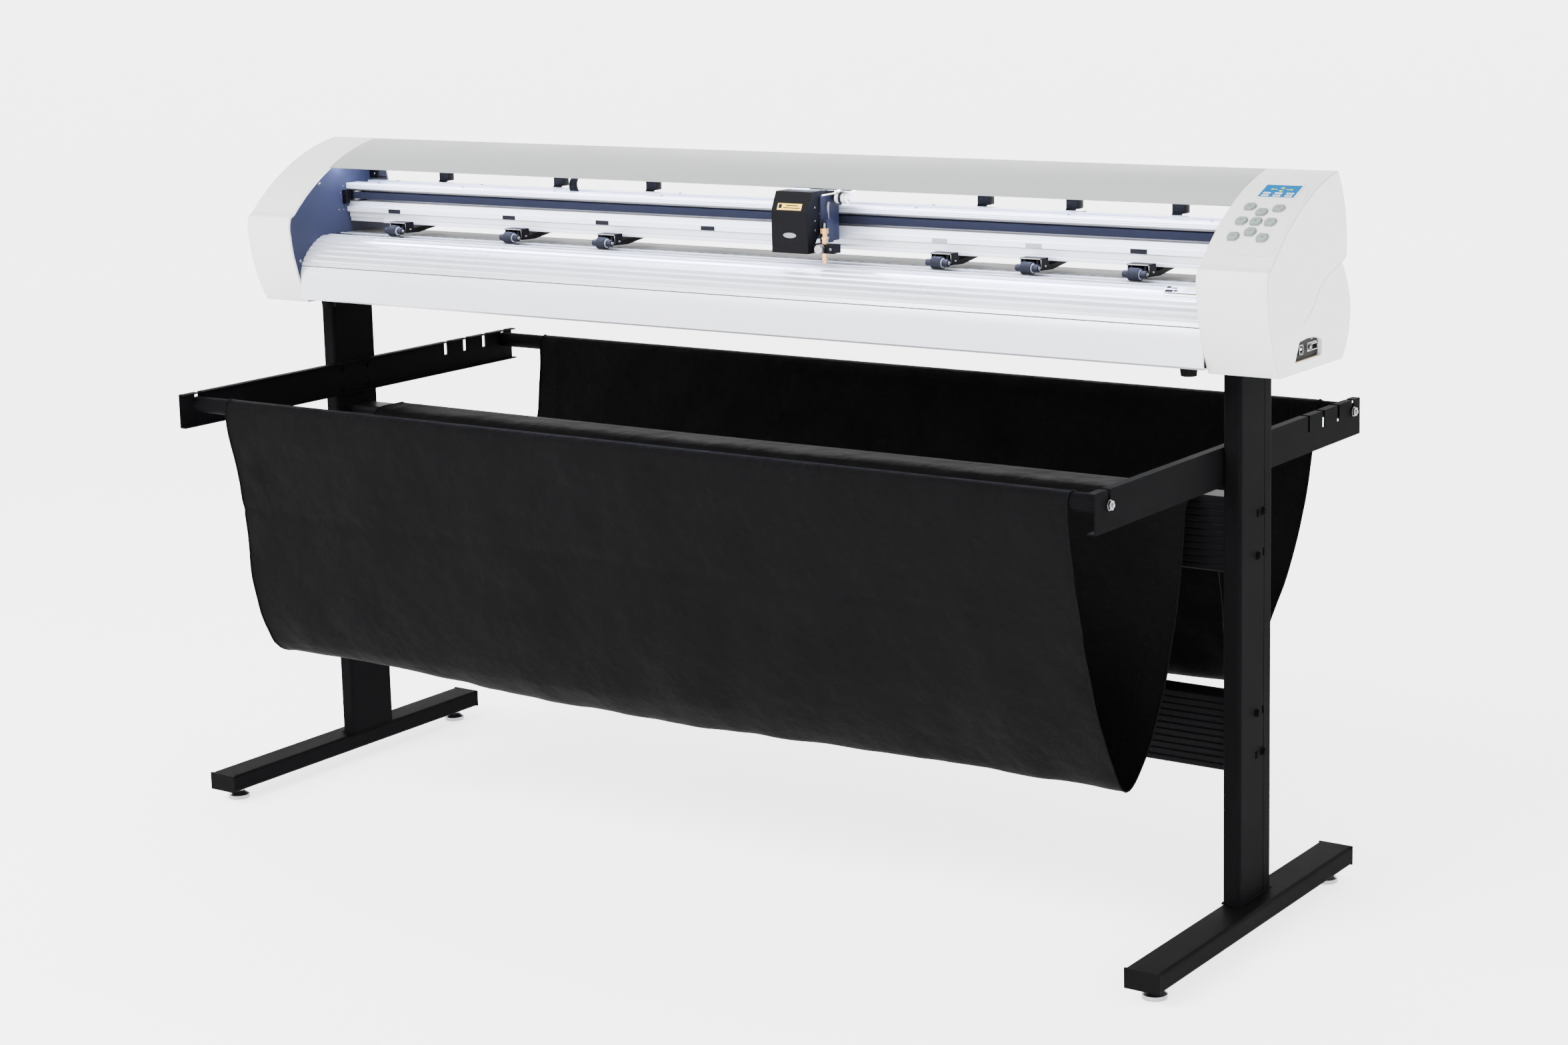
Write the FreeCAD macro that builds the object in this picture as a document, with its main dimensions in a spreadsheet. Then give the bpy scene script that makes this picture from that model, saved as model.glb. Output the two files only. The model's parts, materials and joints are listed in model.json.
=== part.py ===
"""Printer cutter on a floor stand: a roll-fed vinyl cutter 1.9 m wide, with a cloth basket below it.

Millimetres. +X runs along the head to the console end, -Y is the operator's side, +Z is up.
The origin is on the floor, under the middle of the object's box.
"""
import FreeCAD, Part
import math
import os
from FreeCAD import Placement, Rotation, Vector

doc = FreeCAD.newDocument("printer_cutter")
sheet = doc.addObject("Spreadsheet::Sheet", "dims")

SIZES = {
    # stand
    "stand_left": -879, "stand_inner": 1704,
    "foot_length": 622, "foot_width": 55, "foot_height": 29, "foot_wall": 2, "foot_middle": -32,
    "foot_lift": 20, "foot_cap": 3, "disc_diameter": 36,
    "column_width": 28, "column_depth": 102, "column_length": 788, "column_middle": 1, "column_wall": 2.5,
    "crossbeam_height": 110, "crossbeam_depth": 44, "crossbeam_middle": 2,
    "upper_beam_middle": 586, "lower_beam_middle": 293, "bracket_thickness": 3,
    "arm_length": 835, "arm_height": 56, "arm_bottom": 662, "arm_sheet": 2, "arm_flange": 13,
    "rod_diameter": 26,
    "front_rod_along": -380, "front_rod_up": 697, "rear_rod_along": 392, "rear_rod_up": 700,
    "basket_left": -783, "basket_length": 1552,
    # head
    "head_left": -951, "left_cap_width": 98, "right_cap_start": 845, "right_cap_width": 106,
    "cap_wall": 3, "plate_thickness": 4, "bay_start": -853, "bay_length": 1698,
    "cover_sheet": 2, "housing_sheet": 2.5,
    "shaft_along": -59, "shaft_up": 937.5, "shaft_diameter": 20, "journal_diameter": 12, "journal_bore": 12.1,
    # pinch rollers and their arms
    "roller_up": 957, "roller_diameter": 18.4, "roller_width": 17, "roller_axle": 5, "roller_bore": 5.1,
    "arm_width": 36, "arm_cheek": 2, "axle_length": 38,
    "pivot_along": 50, "pivot_up": 975, "pivot_diameter": 6, "pivot_bore": 6.1,
    # carriage
    "belt_width": 12, "belt_bottom": 1004, "belt_thickness": 1.4, "pulley_diameter": 13.2,
    "left_pulley_across": -838, "right_pulley_across": 868, "pulley_along": -17,
    "pulley_pin": 5, "pulley_bore": 5.1,
    "carriage_left": 103, "carriage_box": 66, "frame_right": 172,
    "blade_across": 186, "blade_along": -92, "barrel_diameter": 9, "barrel_bore": 9.1,
    # console
    "console_along": 118.4, "console_up": 725.9, "console_radius": 382.3, "console_middle": 896.5,
    "button_wide": 16.4, "button_high": 14.6, "button_thick": 6, "button_proud": 2.4, "button_gap": 0.3,
    "screen_wide": 54, "screen_high": 36, "screen_thick": 6, "screen_across": 901,
}


def fill_sheet():
    """Write every driving size as a plain number with its name as the cell's alias."""
    for row, (name, value) in enumerate(SIZES.items(), start=1):
        cell = "A%d" % row
        sheet.set(cell, str(value))
        sheet.setAlias(cell, name)
    doc.recompute()


def dim(name):
    return float(sheet.get(name))


# ---- helpers -------------------------------------------------------------------------------------


def outline(start, *steps):
    """Closed wire in a sketch plane. A step is a point, or a (middle, end) pair of points for an arc."""
    edges = []
    here = Vector(*start, 0)
    for step in list(steps) + [start]:
        if isinstance(step[0], tuple):
            there = Vector(*step[1], 0)
            edges.append(Part.Arc(here, Vector(*step[0], 0), there).toShape())
        else:
            there = Vector(*step, 0)
            if there.distanceToPoint(here) < 1e-6:
                continue
            edges.append(Part.LineSegment(here, there).toShape())
        here = there
    return Part.Wire(edges)


def rounded(across, up, wide, high, radius):
    """Rounded rectangle about a centre."""
    left, right = across - wide / 2, across + wide / 2
    low, top = up - high / 2, up + high / 2
    bend = radius * (1 - math.sqrt(0.5))
    return outline(
        (left + radius, low), (right - radius, low), ((right - bend, low + bend), (right, low + radius)),
        (right, top - radius), ((right - bend, top - bend), (right - radius, top)),
        (left + radius, top), ((left + bend, top - bend), (left, top - radius)),
        (left, low + radius), ((left + bend, low + bend), (left + radius, low)),
    )


def disc(across, up, diameter):
    return Part.Wire(Part.Circle(Vector(across, up, 0), Vector(0, 0, 1), diameter / 2).toShape())


def inset(wire, wall):
    return wire.makeOffset2D(-wall)


def band(path, thickness):
    """Outline of a bent sheet that follows an open path, thickened to its right for a positive thickness."""
    edges = []
    here = Vector(*path[0], 0)
    for step in path[1:]:
        if isinstance(step[0], tuple):
            there = Vector(*step[1], 0)
            edges.append(Part.Arc(here, Vector(*step[0], 0), there).toShape())
        else:
            there = Vector(*step, 0)
            edges.append(Part.LineSegment(here, there).toShape())
        here = there
    face = Part.Wire(edges).makeOffset2D(thickness, 2, True, True)
    return face.Faces[0].OuterWire


def sketch_geometry(wire):
    """The wire's lines, arcs and circles as sketch geometry."""
    shapes = []
    for edge in wire.OrderedEdges:
        first, last = edge.FirstParameter, edge.LastParameter
        a, middle, b = (edge.valueAt(p) for p in (first, (first + last) / 2, last))
        if edge.Curve.TypeId == "Part::GeomLine":
            shapes.append(Part.LineSegment(a, b))
        elif edge.isClosed():
            shapes.append(Part.Circle(edge.Curve.Center, Vector(0, 0, 1), edge.Curve.Radius))
        else:
            shapes.append(Part.Arc(a, middle, b))
    return shapes


def add_sketch(body, role, wires):
    plane = next(f for f in body.Origin.OriginFeatures if f.Role == role)
    sketch = body.newObject("Sketcher::SketchObject", body.Name + "_outline")
    sketch.AttachmentSupport = [(plane, "")]
    sketch.MapMode = "FlatFace"
    for wire in wires:
        for shape in sketch_geometry(wire):
            sketch.addGeometry(shape, False)
    return sketch


def bind(thing, **expressions):
    """Bind properties to the sheet: double underscores stand for dots, names in the text for cells."""
    for name, text in expressions.items():
        for cell in sorted(SIZES, key=len, reverse=True):
            text = text.replace("[" + cell + "]", "dims." + cell)
        thing.setExpression(name.replace("__", "."), text)


def extruded(label, role, wires, length, start=None):
    """PartDesign body: a sketch padded by a length from the sheet; start places it along the pad's direction.

    A sketch on YZ is padded along +X, on XY along +Z, and on XZ evenly both ways along Y.
    """
    body = doc.addObject("PartDesign::Body", label)
    sketch = add_sketch(body, role, wires)
    pad = body.newObject("PartDesign::Pad", label + "_pad")
    pad.Profile = sketch
    bind(pad, Length=length)
    if role == "XZ_Plane":
        pad.SideType = "Symmetric"
    sketch.Visibility = False
    if start is not None:
        letter = {"YZ_Plane": "x", "XY_Plane": "z", "XZ_Plane": "y"}[role]
        bind(body, **{"Placement__Base__" + letter: start})
    body.Label = label
    return body


def lofted(label, ends, length, start):
    """PartDesign body that runs along +X from one outline on YZ to another."""
    body = doc.addObject("PartDesign::Body", label)
    near, far = (add_sketch(body, "YZ_Plane", [end]) for end in ends)
    bind(far, AttachmentOffset__Base__z=length)
    loft = body.newObject("PartDesign::AdditiveLoft", label + "_loft")
    loft.Profile = near
    loft.Sections = [far]
    loft.Ruled = True
    near.Visibility = far.Visibility = False
    bind(body, Placement__Base__x=start)
    body.Label = label
    return body


def box(name, corner, size, turn=None):
    made = doc.addObject("Part::Box", name)
    made.Length, made.Width, made.Height = size
    made.Placement = Placement(Vector(*corner), turn or Rotation())
    return made


def rod(name, start, axis, length, diameter):
    made = doc.addObject("Part::Cylinder", name)
    made.Radius = diameter / 2
    made.Height = length
    made.Placement = Placement(Vector(*start), Rotation(Vector(0, 0, 1), Vector(*axis)))
    return made


def joined(label, parts):
    made = doc.addObject("Part::MultiFuse", label)
    made.Shapes = parts
    made.Label = label
    return made


def grouped(label, parts):
    """Several solids of one kind, kept apart, in one sub-part."""
    made = doc.addObject("Part::Compound", label)
    made.Links = parts
    made.Label = label
    return made


def cut(label, base, tools):
    tool = tools[0] if len(tools) == 1 else joined(label + "_tools", tools)
    made = doc.addObject("Part::Cut", label)
    made.Base = base
    made.Tool = tool
    made.Label = label
    return made


# ---- stand ---------------------------------------------------------------------------------------

SIDES = ("left", "right")


def side_edge(side):
    """X of a column's inner face, and the direction that points out of the stand there."""
    if side == "left":
        return dim("stand_left"), -1
    return dim("stand_left") + dim("stand_inner"), 1


def make_foot(side):
    inner, out = side_edge(side)
    middle = inner + out * dim("foot_width") / 2
    up = dim("foot_lift") + dim("foot_height") / 2
    wall = 2 * dim("foot_wall")
    wide, high = dim("foot_width"), dim("foot_height")
    tube = [rounded(middle, up, wide, high, 5), rounded(middle, up, wide - wall, high - wall, 3)]
    return extruded("foot_" + side, "XZ_Plane", tube, "[foot_length]", "[foot_middle]")


def make_foot_end_caps():
    wide, high, thick = dim("foot_width"), dim("foot_height"), dim("foot_cap")
    plug_depth, plug_gap = 12, 3.2
    parts = []
    for side in SIDES:
        inner, out = side_edge(side)
        left = min(inner, inner + out * wide)
        for end in (-1, 1):
            face = dim("foot_middle") + end * dim("foot_length") / 2
            name = "foot_cap_%s_%s" % (side, "rear" if end > 0 else "front")
            plate_start, plug_start = min(face, face + end * thick), min(face, face - end * plug_depth)
            plate = box(name + "_plate", (left, plate_start, dim("foot_lift")), (wide, thick, high))
            plug = box(
                name + "_plug", (left + plug_gap, plug_start, dim("foot_lift") + plug_gap),
                (wide - 2 * plug_gap, plug_depth, high - 2 * plug_gap),
            )
            parts.append(joined(name, [plate, plug]))
    return grouped("foot_end_caps", parts)


def make_levelling_feet():
    stem, nut_flats, disc_edge, nut_low, nut_high = 10, 17, 6, 13, 20
    end_gap = 34
    parts = []
    for side in SIDES:
        inner, out = side_edge(side)
        across = inner + out * dim("foot_width") / 2
        for end in (-1, 1):
            along = dim("foot_middle") + end * (dim("foot_length") / 2 - end_gap)
            name = "leveller_%s_%s" % (side, "rear" if end > 0 else "front")
            pad = rod(name + "_disc", (across, along, 0), (0, 0, 1), disc_edge, dim("disc_diameter"))
            cone = doc.addObject("Part::Cone", name + "_cone")
            cone.Radius1 = dim("disc_diameter") / 2
            cone.Radius2 = stem / 2 + 2
            cone.Height = nut_low - disc_edge
            cone.Placement = Placement(Vector(across, along, disc_edge), Rotation())
            nut = doc.addObject("Part::Prism", name + "_nut")
            nut.Polygon = 6
            nut.Circumradius = nut_flats / math.sqrt(3)
            nut.Height = nut_high - nut_low
            nut.Placement = Placement(Vector(across, along, nut_low), Rotation())
            parts.append(joined(name, [pad, cone, nut]))
    return grouped("levelling_feet", parts)


# (y, z) of the screws in a column's outer face, and of the spare slot beside each one
COLUMN_SCREWS = ((22, 617), (6, 555), (4, 324), (24, 262))
COLUMN_SLOTS = ((4, 617), (24, 557), (23, 325), (2, 262))
ARM_SCREWS = ((30, 704), (-32, 705), (-32, 670), (30, 671))


def make_column(side):
    inner, out = side_edge(side)
    wide, deep, wall = dim("column_width"), dim("column_depth"), dim("column_wall")
    across, along = inner + out * wide / 2, dim("column_middle")
    groove_along, groove_wide, groove_deep = 25, 1.6, 1
    outer = rounded(across, along, wide, deep, 6)
    hollow = rounded(across, along, wide - 2 * wall, deep - 2 * wall, 3.5)
    bottom = dim("foot_lift") + dim("foot_height")
    tube = extruded(
        "column_%s_tube" % side, "XY_Plane", [outer, hollow],
        "[column_length]", "[foot_lift] + [foot_height]",
    )
    face = inner + out * wide
    groove_left = min(face, face - out * groove_deep)
    tools = [
        box("column_%s_groove" % side, (groove_left, groove_along, bottom),
            (groove_deep, groove_wide, dim("column_length")))
    ]
    slot_deep, slot_wide, slot_high = wall + 1, 6, 11
    for number, (slot_along, slot_up) in enumerate(COLUMN_SLOTS):
        corner = (face - slot_deep, slot_along - slot_wide / 2, slot_up - slot_high / 2)
        tools.append(box("column_%s_slot_%d" % (side, number), corner, (2 * slot_deep, slot_wide, slot_high)))
    if side == "left":
        return cut("column_left", tube, tools)
    pad_high, pad_deep = 6, 80
    pad = box(
        "column_right_pad", (inner, along - pad_deep / 2, bottom + dim("column_length")),
        (dim("right_cap_start") - inner, pad_deep, pad_high),
    )
    return joined("column_right", [cut("column_right_tube_cut", tube, tools), pad])


def crossbeam_outline(up):
    """Hollow extrusion with horizontal ribs down its front and back faces."""
    deep, high = dim("crossbeam_depth"), dim("crossbeam_height")
    middle = dim("crossbeam_middle")
    ribs, rib_depth, wall = 11, 1.6, 3.5
    pitch = high / ribs
    front, back = [], []
    for number in range(ribs):
        low = up - high / 2 + number * pitch
        for share, depth in ((0.02, rib_depth), (0.2, 0), (0.8, 0), (0.98, rib_depth)):
            front.append((middle - deep / 2 + depth, low + share * pitch))
            back.append((middle + deep / 2 - depth, low + share * pitch))
    points = front + back[::-1]
    hollow = rounded(middle, up, deep - 2 * wall, high - 2 * wall, 3)
    return [outline(*points), hollow]


def make_crossbeams():
    thick = dim("bracket_thickness")
    plate_deep, plate_extra = 60, 6
    left = dim("stand_left")
    right = left + dim("stand_inner")
    parts = []
    for name, middle in (("upper", "upper_beam_middle"), ("lower", "lower_beam_middle")):
        up = dim(middle)
        rail = extruded(
            "crossbeam_%s_rail" % name, "YZ_Plane", crossbeam_outline(up),
            "[stand_inner] - 2 * [bracket_thickness]", "[stand_left] + [bracket_thickness]",
        )
        high = dim("crossbeam_height") + 2 * plate_extra
        along = dim("crossbeam_middle") - plate_deep / 2
        low = up - dim("crossbeam_height") / 2 - plate_extra
        if name == "upper":
            high -= plate_extra
        plates = [
            box("crossbeam_%s_plate_left" % name, (left, along, low), (thick, plate_deep, high)),
            box("crossbeam_%s_plate_right" % name, (right - thick, along, low), (thick, plate_deep, high)),
        ]
        parts.append(joined("crossbeam_" + name, [rail] + plates))
    return grouped("crossbeams", parts)


# (y) of the open slots that no rod hangs in
SPARE_SLOTS = (234, 286, 339)


def make_basket_arm(side):
    """Sheet channel that hangs the basket: a web on the column's inner face, with flanges turned inwards."""
    inner, out = side_edge(side)
    sheet_thick, flange = dim("arm_sheet"), dim("arm_flange")
    low, high = dim("arm_bottom"), dim("arm_height")
    top = low + high
    channel = outline(
        (inner, low), (inner, top), (inner - out * flange, top), (inner - out * flange, top - sheet_thick),
        (inner - out * sheet_thick, top - sheet_thick), (inner - out * sheet_thick, low + sheet_thick),
        (inner - out * flange, low + sheet_thick), (inner - out * flange, low),
    )
    arm = extruded("basket_arm_%s_channel" % side, "XZ_Plane", [channel], "[arm_length]")
    slot_wide, slot_deep, reach = 8, 25, 3 * flange
    spots = (dim("front_rod_along"),) + SPARE_SLOTS + (dim("rear_rod_along"),)
    tools = [
        box("basket_arm_%s_slot_%d" % (side, number),
            (inner - reach / 2, spot - slot_wide / 2, top - slot_deep), (reach, slot_wide, slot_deep + 1))
        for number, spot in enumerate(spots)
    ]
    return cut("basket_arm_" + side, arm, tools)


def make_basket_rods():
    left = dim("stand_left") + dim("arm_sheet")
    length = dim("stand_inner") - 2 * dim("arm_sheet")
    wall, plug = 2, 12
    parts = []
    for end in ("front", "rear"):
        along, up = dim(end + "_rod_along"), dim(end + "_rod_up")
        outer = rod("rod_%s_outer" % end, (left, along, up), (1, 0, 0), length, dim("rod_diameter"))
        bore = rod(
            "rod_%s_bore" % end, (left + plug, along, up), (1, 0, 0), length - 2 * plug,
            dim("rod_diameter") - 2 * wall,
        )
        parts.append(cut("rod_" + end, outer, [bore]))
    return grouped("basket_rods", parts)


CLOTH = 3


def make_basket_front():
    """The deep front trough of the cloth sling, from the front rod down and up to the upper crossbeam.

    It bellies further forward at the plain end than at the console end.
    """
    rise = [(-107, 470), (-64, 560), (-57, 636), (-24, 641.6)]
    left = [
        (-396.6, 700), (-396, 690), (-381, 560), (-366, 430), ((-353, 345), (-331, 305)),
        ((-308, 277), (-272, 264)), ((-200, 290), (-163, 368)),
    ]
    right = [
        (-396.6, 700), (-396, 690), (-346, 526), (-313, 397), ((-280, 325), (-246, 277)),
        ((-222, 262), (-200, 277)), ((-180, 325), (-163, 368)),
    ]
    ends = [band(left + rise, CLOTH), band(right + rise, CLOTH)]
    return lofted("basket_front", ends, "[basket_length]", "[basket_left]")


def make_basket_rear():
    """The shallow rear trough, from over the upper crossbeam down and up to the rear rod."""
    path = [
        (-24, 641.6), (40, 641.6), (62, 480), (80, 372), ((96, 334), (136, 336)), (215, 384), (318, 498),
        (356, 600), (372, 690),
    ]
    return extruded("basket_rear", "YZ_Plane", [band(path, -CLOTH)], "[basket_length]", "[basket_left]")


def make_stand_bolts():
    head, head_thick, washer, washer_thick, stub = 9.5, 3.2, 15, 1.5, 7
    parts = []
    for side in SIDES:
        inner, out = side_edge(side)
        face = inner + out * dim("column_width")
        for number, (along, up) in enumerate(COLUMN_SCREWS):
            name = "column_screw_%s_%d" % (side, number)
            flat = rod(name + "_washer", (face, along, up), (out, 0, 0), washer_thick, head + 3)
            top = rod(name + "_head", (face, along, up), (out, 0, 0), washer_thick + head_thick, head)
            parts.append(joined(name, [flat, top]))
        for number, (along, up) in enumerate(ARM_SCREWS):
            start = (inner - out * dim("arm_sheet"), along, up)
            parts.append(rod("arm_screw_%s_%d" % (side, number), start, (-out, 0, 0), head_thick, head))
        for end in ("front", "rear"):
            name = "rod_bolt_%s_%s" % (side, end)
            along, up = dim(end + "_rod_along"), dim(end + "_rod_up")
            flat = rod(name + "_washer", (inner, along, up), (out, 0, 0), washer_thick, washer)
            nut = rod(name + "_nut", (inner, along, up), (out, 0, 0), washer_thick + head_thick, 12)
            web = dim("arm_sheet")
            end_stub = rod(name + "_stub", (inner - out * web, along, up), (out, 0, 0), web + stub, 6)
            parts.append(joined(name, [flat, nut, end_stub]))
    return grouped("stand_bolts", parts)


# ---- head: housing -------------------------------------------------------------------------------


def cap_outline():
    """Side view of the head: the console's long arc, a blunt nose, and the bulge of the rear."""
    return outline(
        (-133, 837), ((-147, 862), (-160, 900)), ((-166, 922), (-170, 952)), ((-171, 972), (-167, 985)),
        (-158, 990), ((-60, 1064), (50, 1102)), ((62, 1082), (80, 979)), (66, 972),
        ((88, 936), (94.5, 912)), ((89, 870), (70, 838)), (66, 837),
    )


def cap_shell(side, start, width, open_end):
    """Hollow end cap, open towards the side plate; open_end is the X of that opening."""
    name = "end_cap_" + side
    wall = dim("cap_wall")
    solid = extruded(name + "_body", "YZ_Plane", [cap_outline()], "[%s]" % width, "[%s]" % start)
    room = extruded(name + "_room", "YZ_Plane", [inset(cap_outline(), wall)], "[%s] - [cap_wall]" % width)
    if open_end == "right":
        bind(room, Placement__Base__x="[%s] + [cap_wall]" % start)
    else:
        bind(room, Placement__Base__x="[%s]" % start)
    return solid, room


def console_point(turn):
    """Point of the console's arc at an angle from +Y, in degrees, and the rotation that lays X, Y, Z
    along the head, up the slope and out of the surface."""
    radius, angle = dim("console_radius"), math.radians(turn)
    along = dim("console_along") + radius * math.cos(angle)
    up = dim("console_up") + radius * math.sin(angle)
    return along, up, Rotation(Vector(1, 0, 0), turn - 90)


def on_console(name, across, turn, wide, high, thick, proud):
    """Block of the given size whose outer face stands proud of the console by the given amount."""
    along, up, lay = console_point(turn)
    out = lay.multVec(Vector(0, 0, 1))
    slope = lay.multVec(Vector(0, 1, 0))
    corner = Vector(across, along, up) + out * (proud - thick) - slope * (high / 2) - Vector(wide / 2, 0, 0)
    return box(name, corner, (wide, high, thick), lay)


# (column, angle on the console's arc) of each button; the middle column lies on the console's middle
BUTTON_PITCH = 21.6
BUTTONS = (
    (-1, 119), (0, 120.7), (1, 119.2), (-1, 123.8), (0, 123.8), (1, 123.8), (0, 127), (-1, 128.5), (1, 128.5),
)
SCREEN_TURN = 112.5


def key_block(name, column, turn, grown, thick, proud):
    """Eight-sided block with a key's outline, grown all round, that stands proud of the console."""
    wide, high = dim("button_wide") / 2, dim("button_high") / 2
    flat, side = wide * 0.62, high * 0.3
    key = outline(
        (-flat, -high), (flat, -high), (wide, -side), (wide, side),
        (flat, high), (-flat, high), (-wide, side), (-wide, -side),
    )
    if grown:
        key = key.makeOffset2D(grown, 2)
    along, up, lay = console_point(turn)
    out = lay.multVec(Vector(0, 0, 1))
    block = extruded(name, "XY_Plane", [key], str(thick))
    across = dim("console_middle") + column * BUTTON_PITCH
    block.Placement = Placement(Vector(across, along, up) + out * (proud - thick), lay)
    return block


RECESS = ((-85, 852), (-4, 852), (0, 854), (2, 870), (-2, 875), (-22, 880), (-48, 881), (-71, 879))


def connector_boss(name, grown, depth):
    """Block behind the connector recess in the console end's outer wall."""
    wire = outline(*RECESS)
    if grown:
        wire = wire.makeOffset2D(grown)
    body = extruded(name, "YZ_Plane", [wire], str(depth))
    bind(body, Placement__Base__x="[right_cap_start] + [right_cap_width] - %s" % depth)
    return body


def make_end_cap_right():
    recess_deep, recess_wall = 6, 2.5
    solid, room = cap_shell("right", "right_cap_start", "right_cap_width", "left")
    shell = cut("end_cap_right_shell", solid, [room])
    boss = connector_boss("end_cap_right_boss", recess_wall, recess_deep + recess_wall)
    tools = [connector_boss("end_cap_right_recess", 0, recess_deep)]
    inner = dim("right_cap_start") + dim("right_cap_width") - recess_deep - recess_wall - 1
    tools.append(box("usb_window", (inner, -68.3, 859.7), (recess_deep, 12.6, 14.6)))
    tools.append(box("serial_window", (inner, -35.8, 859.7), (recess_deep, 31.6, 13.6)))
    wall, gap = dim("cap_wall"), dim("button_gap")
    for number, (column, turn) in enumerate(BUTTONS, start=1):
        tools.append(key_block("button_hole_%d" % number, column, turn, gap, 4 * wall, 2 * wall))
    screen_room = on_console(
        "screen_hole", dim("screen_across"), SCREEN_TURN, dim("screen_wide") + 1, dim("screen_high") + 1,
        6 * wall, 3 * wall,
    )
    return cut("end_cap_right", joined("end_cap_right_walls", [shell, boss]), tools + [screen_room])


def make_end_cap_left():
    """The plain end cap, with the power inlet's opening in its outer wall."""
    solid, room = cap_shell("left", "head_left", "left_cap_width", "right")
    corner = (dim("head_left") - 1, INLET_ALONG, INLET_UP)
    inlet = box("inlet_opening", corner, (dim("cap_wall") + 2,) + INLET_SIZE)
    return cut("end_cap_left", solid, [room, inlet])


INLET_ALONG, INLET_UP = -20, 862
INLET_SIZE = (48, 28)


def make_power_inlet():
    """Three-pin appliance inlet in the left end cap's outer wall, with its flange behind the wall."""
    flange, flange_thick, depth, wall, gap = 4, 1.5, 24, 3, 0.2
    left = dim("head_left")
    wide, high = INLET_SIZE
    plate = box(
        "inlet_flange", (left + dim("cap_wall"), INLET_ALONG - flange, INLET_UP - flange),
        (flange_thick, wide + 2 * flange, high + 2 * flange),
    )
    barrel = box(
        "inlet_barrel", (left + 0.5, INLET_ALONG + gap, INLET_UP + gap),
        (depth, wide - 2 * gap, high - 2 * gap),
    )
    socket = box(
        "inlet_socket", (left, INLET_ALONG + wall, INLET_UP + wall),
        (depth - wall, wide - 2 * wall, high - 2 * wall),
    )
    pin_start, pin_wide, pin_high = 5, 2, 6
    pins = []
    for number, (offset, rise) in enumerate(((-8, -2), (0, 3), (8, -2))):
        pin_along = INLET_ALONG + wide / 2 + offset - pin_wide / 2
        pin_up = INLET_UP + high / 2 + rise - pin_high / 2
        pins.append(box(
            "inlet_pin_%d" % number, (left + pin_start, pin_along, pin_up),
            (depth - pin_start, pin_wide, pin_high),
        ))
    hollow = cut("inlet_hollow", joined("inlet_block", [plate, barrel]), [socket])
    return joined("power_inlet", [hollow] + pins)


def make_side_plate(side):
    """Steel plate just inside an end cap's mouth: it carries the shaft, the beam and the pinch pivot rod."""
    thick = dim("plate_thickness")
    start = dim("bay_start") - thick if side == "left" else dim("bay_start") + dim("bay_length")
    wires = [
        inset(cap_outline(), dim("cap_wall") + 0.3),
        disc(dim("shaft_along"), dim("shaft_up"), dim("journal_bore")),
    ]
    if side == "right":
        belt_room = 4
        half = dim("pulley_diameter") / 2 + belt_room
        low, high = dim("belt_bottom") - belt_room, dim("belt_bottom") + dim("belt_width") + belt_room
        along = dim("pulley_along")
        front, back = along - half, along + half
        wires.append(outline((front, low), (back, low), (back, high), (front, high)))
    plate = extruded("side_plate_" + side, "YZ_Plane", wires, "[plate_thickness]")
    plate.Placement.Base = Vector(start, 0, 0)
    return plate


def make_top_cover():
    """Thin sheet flush with the end caps, from above the carriage over the top and down the rear."""
    path = [(-63, 1061), ((-6, 1087.4), (50, 1101.7)), ((58, 1094), (66, 1056))]
    return extruded("top_cover", "YZ_Plane", [band(path, dim("cover_sheet"))], "[bay_length]", "[bay_start]")


def platen_outline():
    """Stepped nose, flat top with the cutting strip's groove, and the channel of the feed shaft."""
    ribs, step = 7, 1.8
    foot, bulge, brow = Vector(-145, 900, 0), Vector(-119, 931, 0), Vector(-88, 946.5, 0)
    arc = Part.Arc(foot, bulge, brow).toShape()
    spots = arc.discretize(ribs + 1)
    centre = arc.Curve.Center
    points = []
    for number in range(ribs):
        for share, rise in ((0.08, step), (0.7, step), (0.82, 0)):
            spot = spots[number] + (spots[number + 1] - spots[number]) * share
            outward = spot - centre
            outward.normalize()
            spot = spot + outward * rise
            points.append((spot.x, spot.y))
    top, strip_top = 947.5, 946.5
    shaft, half = dim("shaft_along"), 11.5
    floor, wall = 924, 2.5
    points += [
        (-86.1, strip_top), (-77.9, strip_top), (-77.9, top), (shaft - half, top), (shaft - half, floor),
        (shaft + half, floor), (shaft + half, top), (-42, top), (-42, floor - wall),
        (shaft - half - wall, floor - wall), (shaft - half - wall, top - 3.5), (-92, top - 3.5),
        ((-122, 927), (-141.5, 900)),
    ]
    return outline(*points)


def make_platen():
    return extruded("platen", "YZ_Plane", [platen_outline()], "[bay_length]", "[bay_start]")


def make_cutting_strip():
    """Soft strip that the knife runs over, laid in the platen's groove."""
    wide, thick, low = 8, 1.4, 946.5
    start = (dim("bay_start") + 12, -86, low)
    strip = box("cutting_strip", start, (dim("bay_length") - 24, wide, thick))
    strip.Label = "cutting_strip"
    return strip


def make_front_shell():
    """Sheet below the platen's nose, turned back under the head."""
    path = [
        (-141.6, 899.9), (-145.5, 899.9), ((-149, 888), (-150, 876)), (-149, 846), (-146, 843), (-62, 843),
    ]
    bent = band(path, -dim("housing_sheet"))
    return extruded("front_shell", "YZ_Plane", [bent], "[bay_length]", "[bay_start]")


def make_base_pan():
    """Dark sheet behind the platen: the media's rear slide, the back wall and the underside."""
    path = [(-41.9, 946.5), (44, 946.5), ((72, 936), (88, 912)), ((85, 872), (66, 843)), (-61, 843)]
    return extruded("base_pan", "YZ_Plane", [band(path, dim("housing_sheet"))], "[bay_length]", "[bay_start]")


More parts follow.
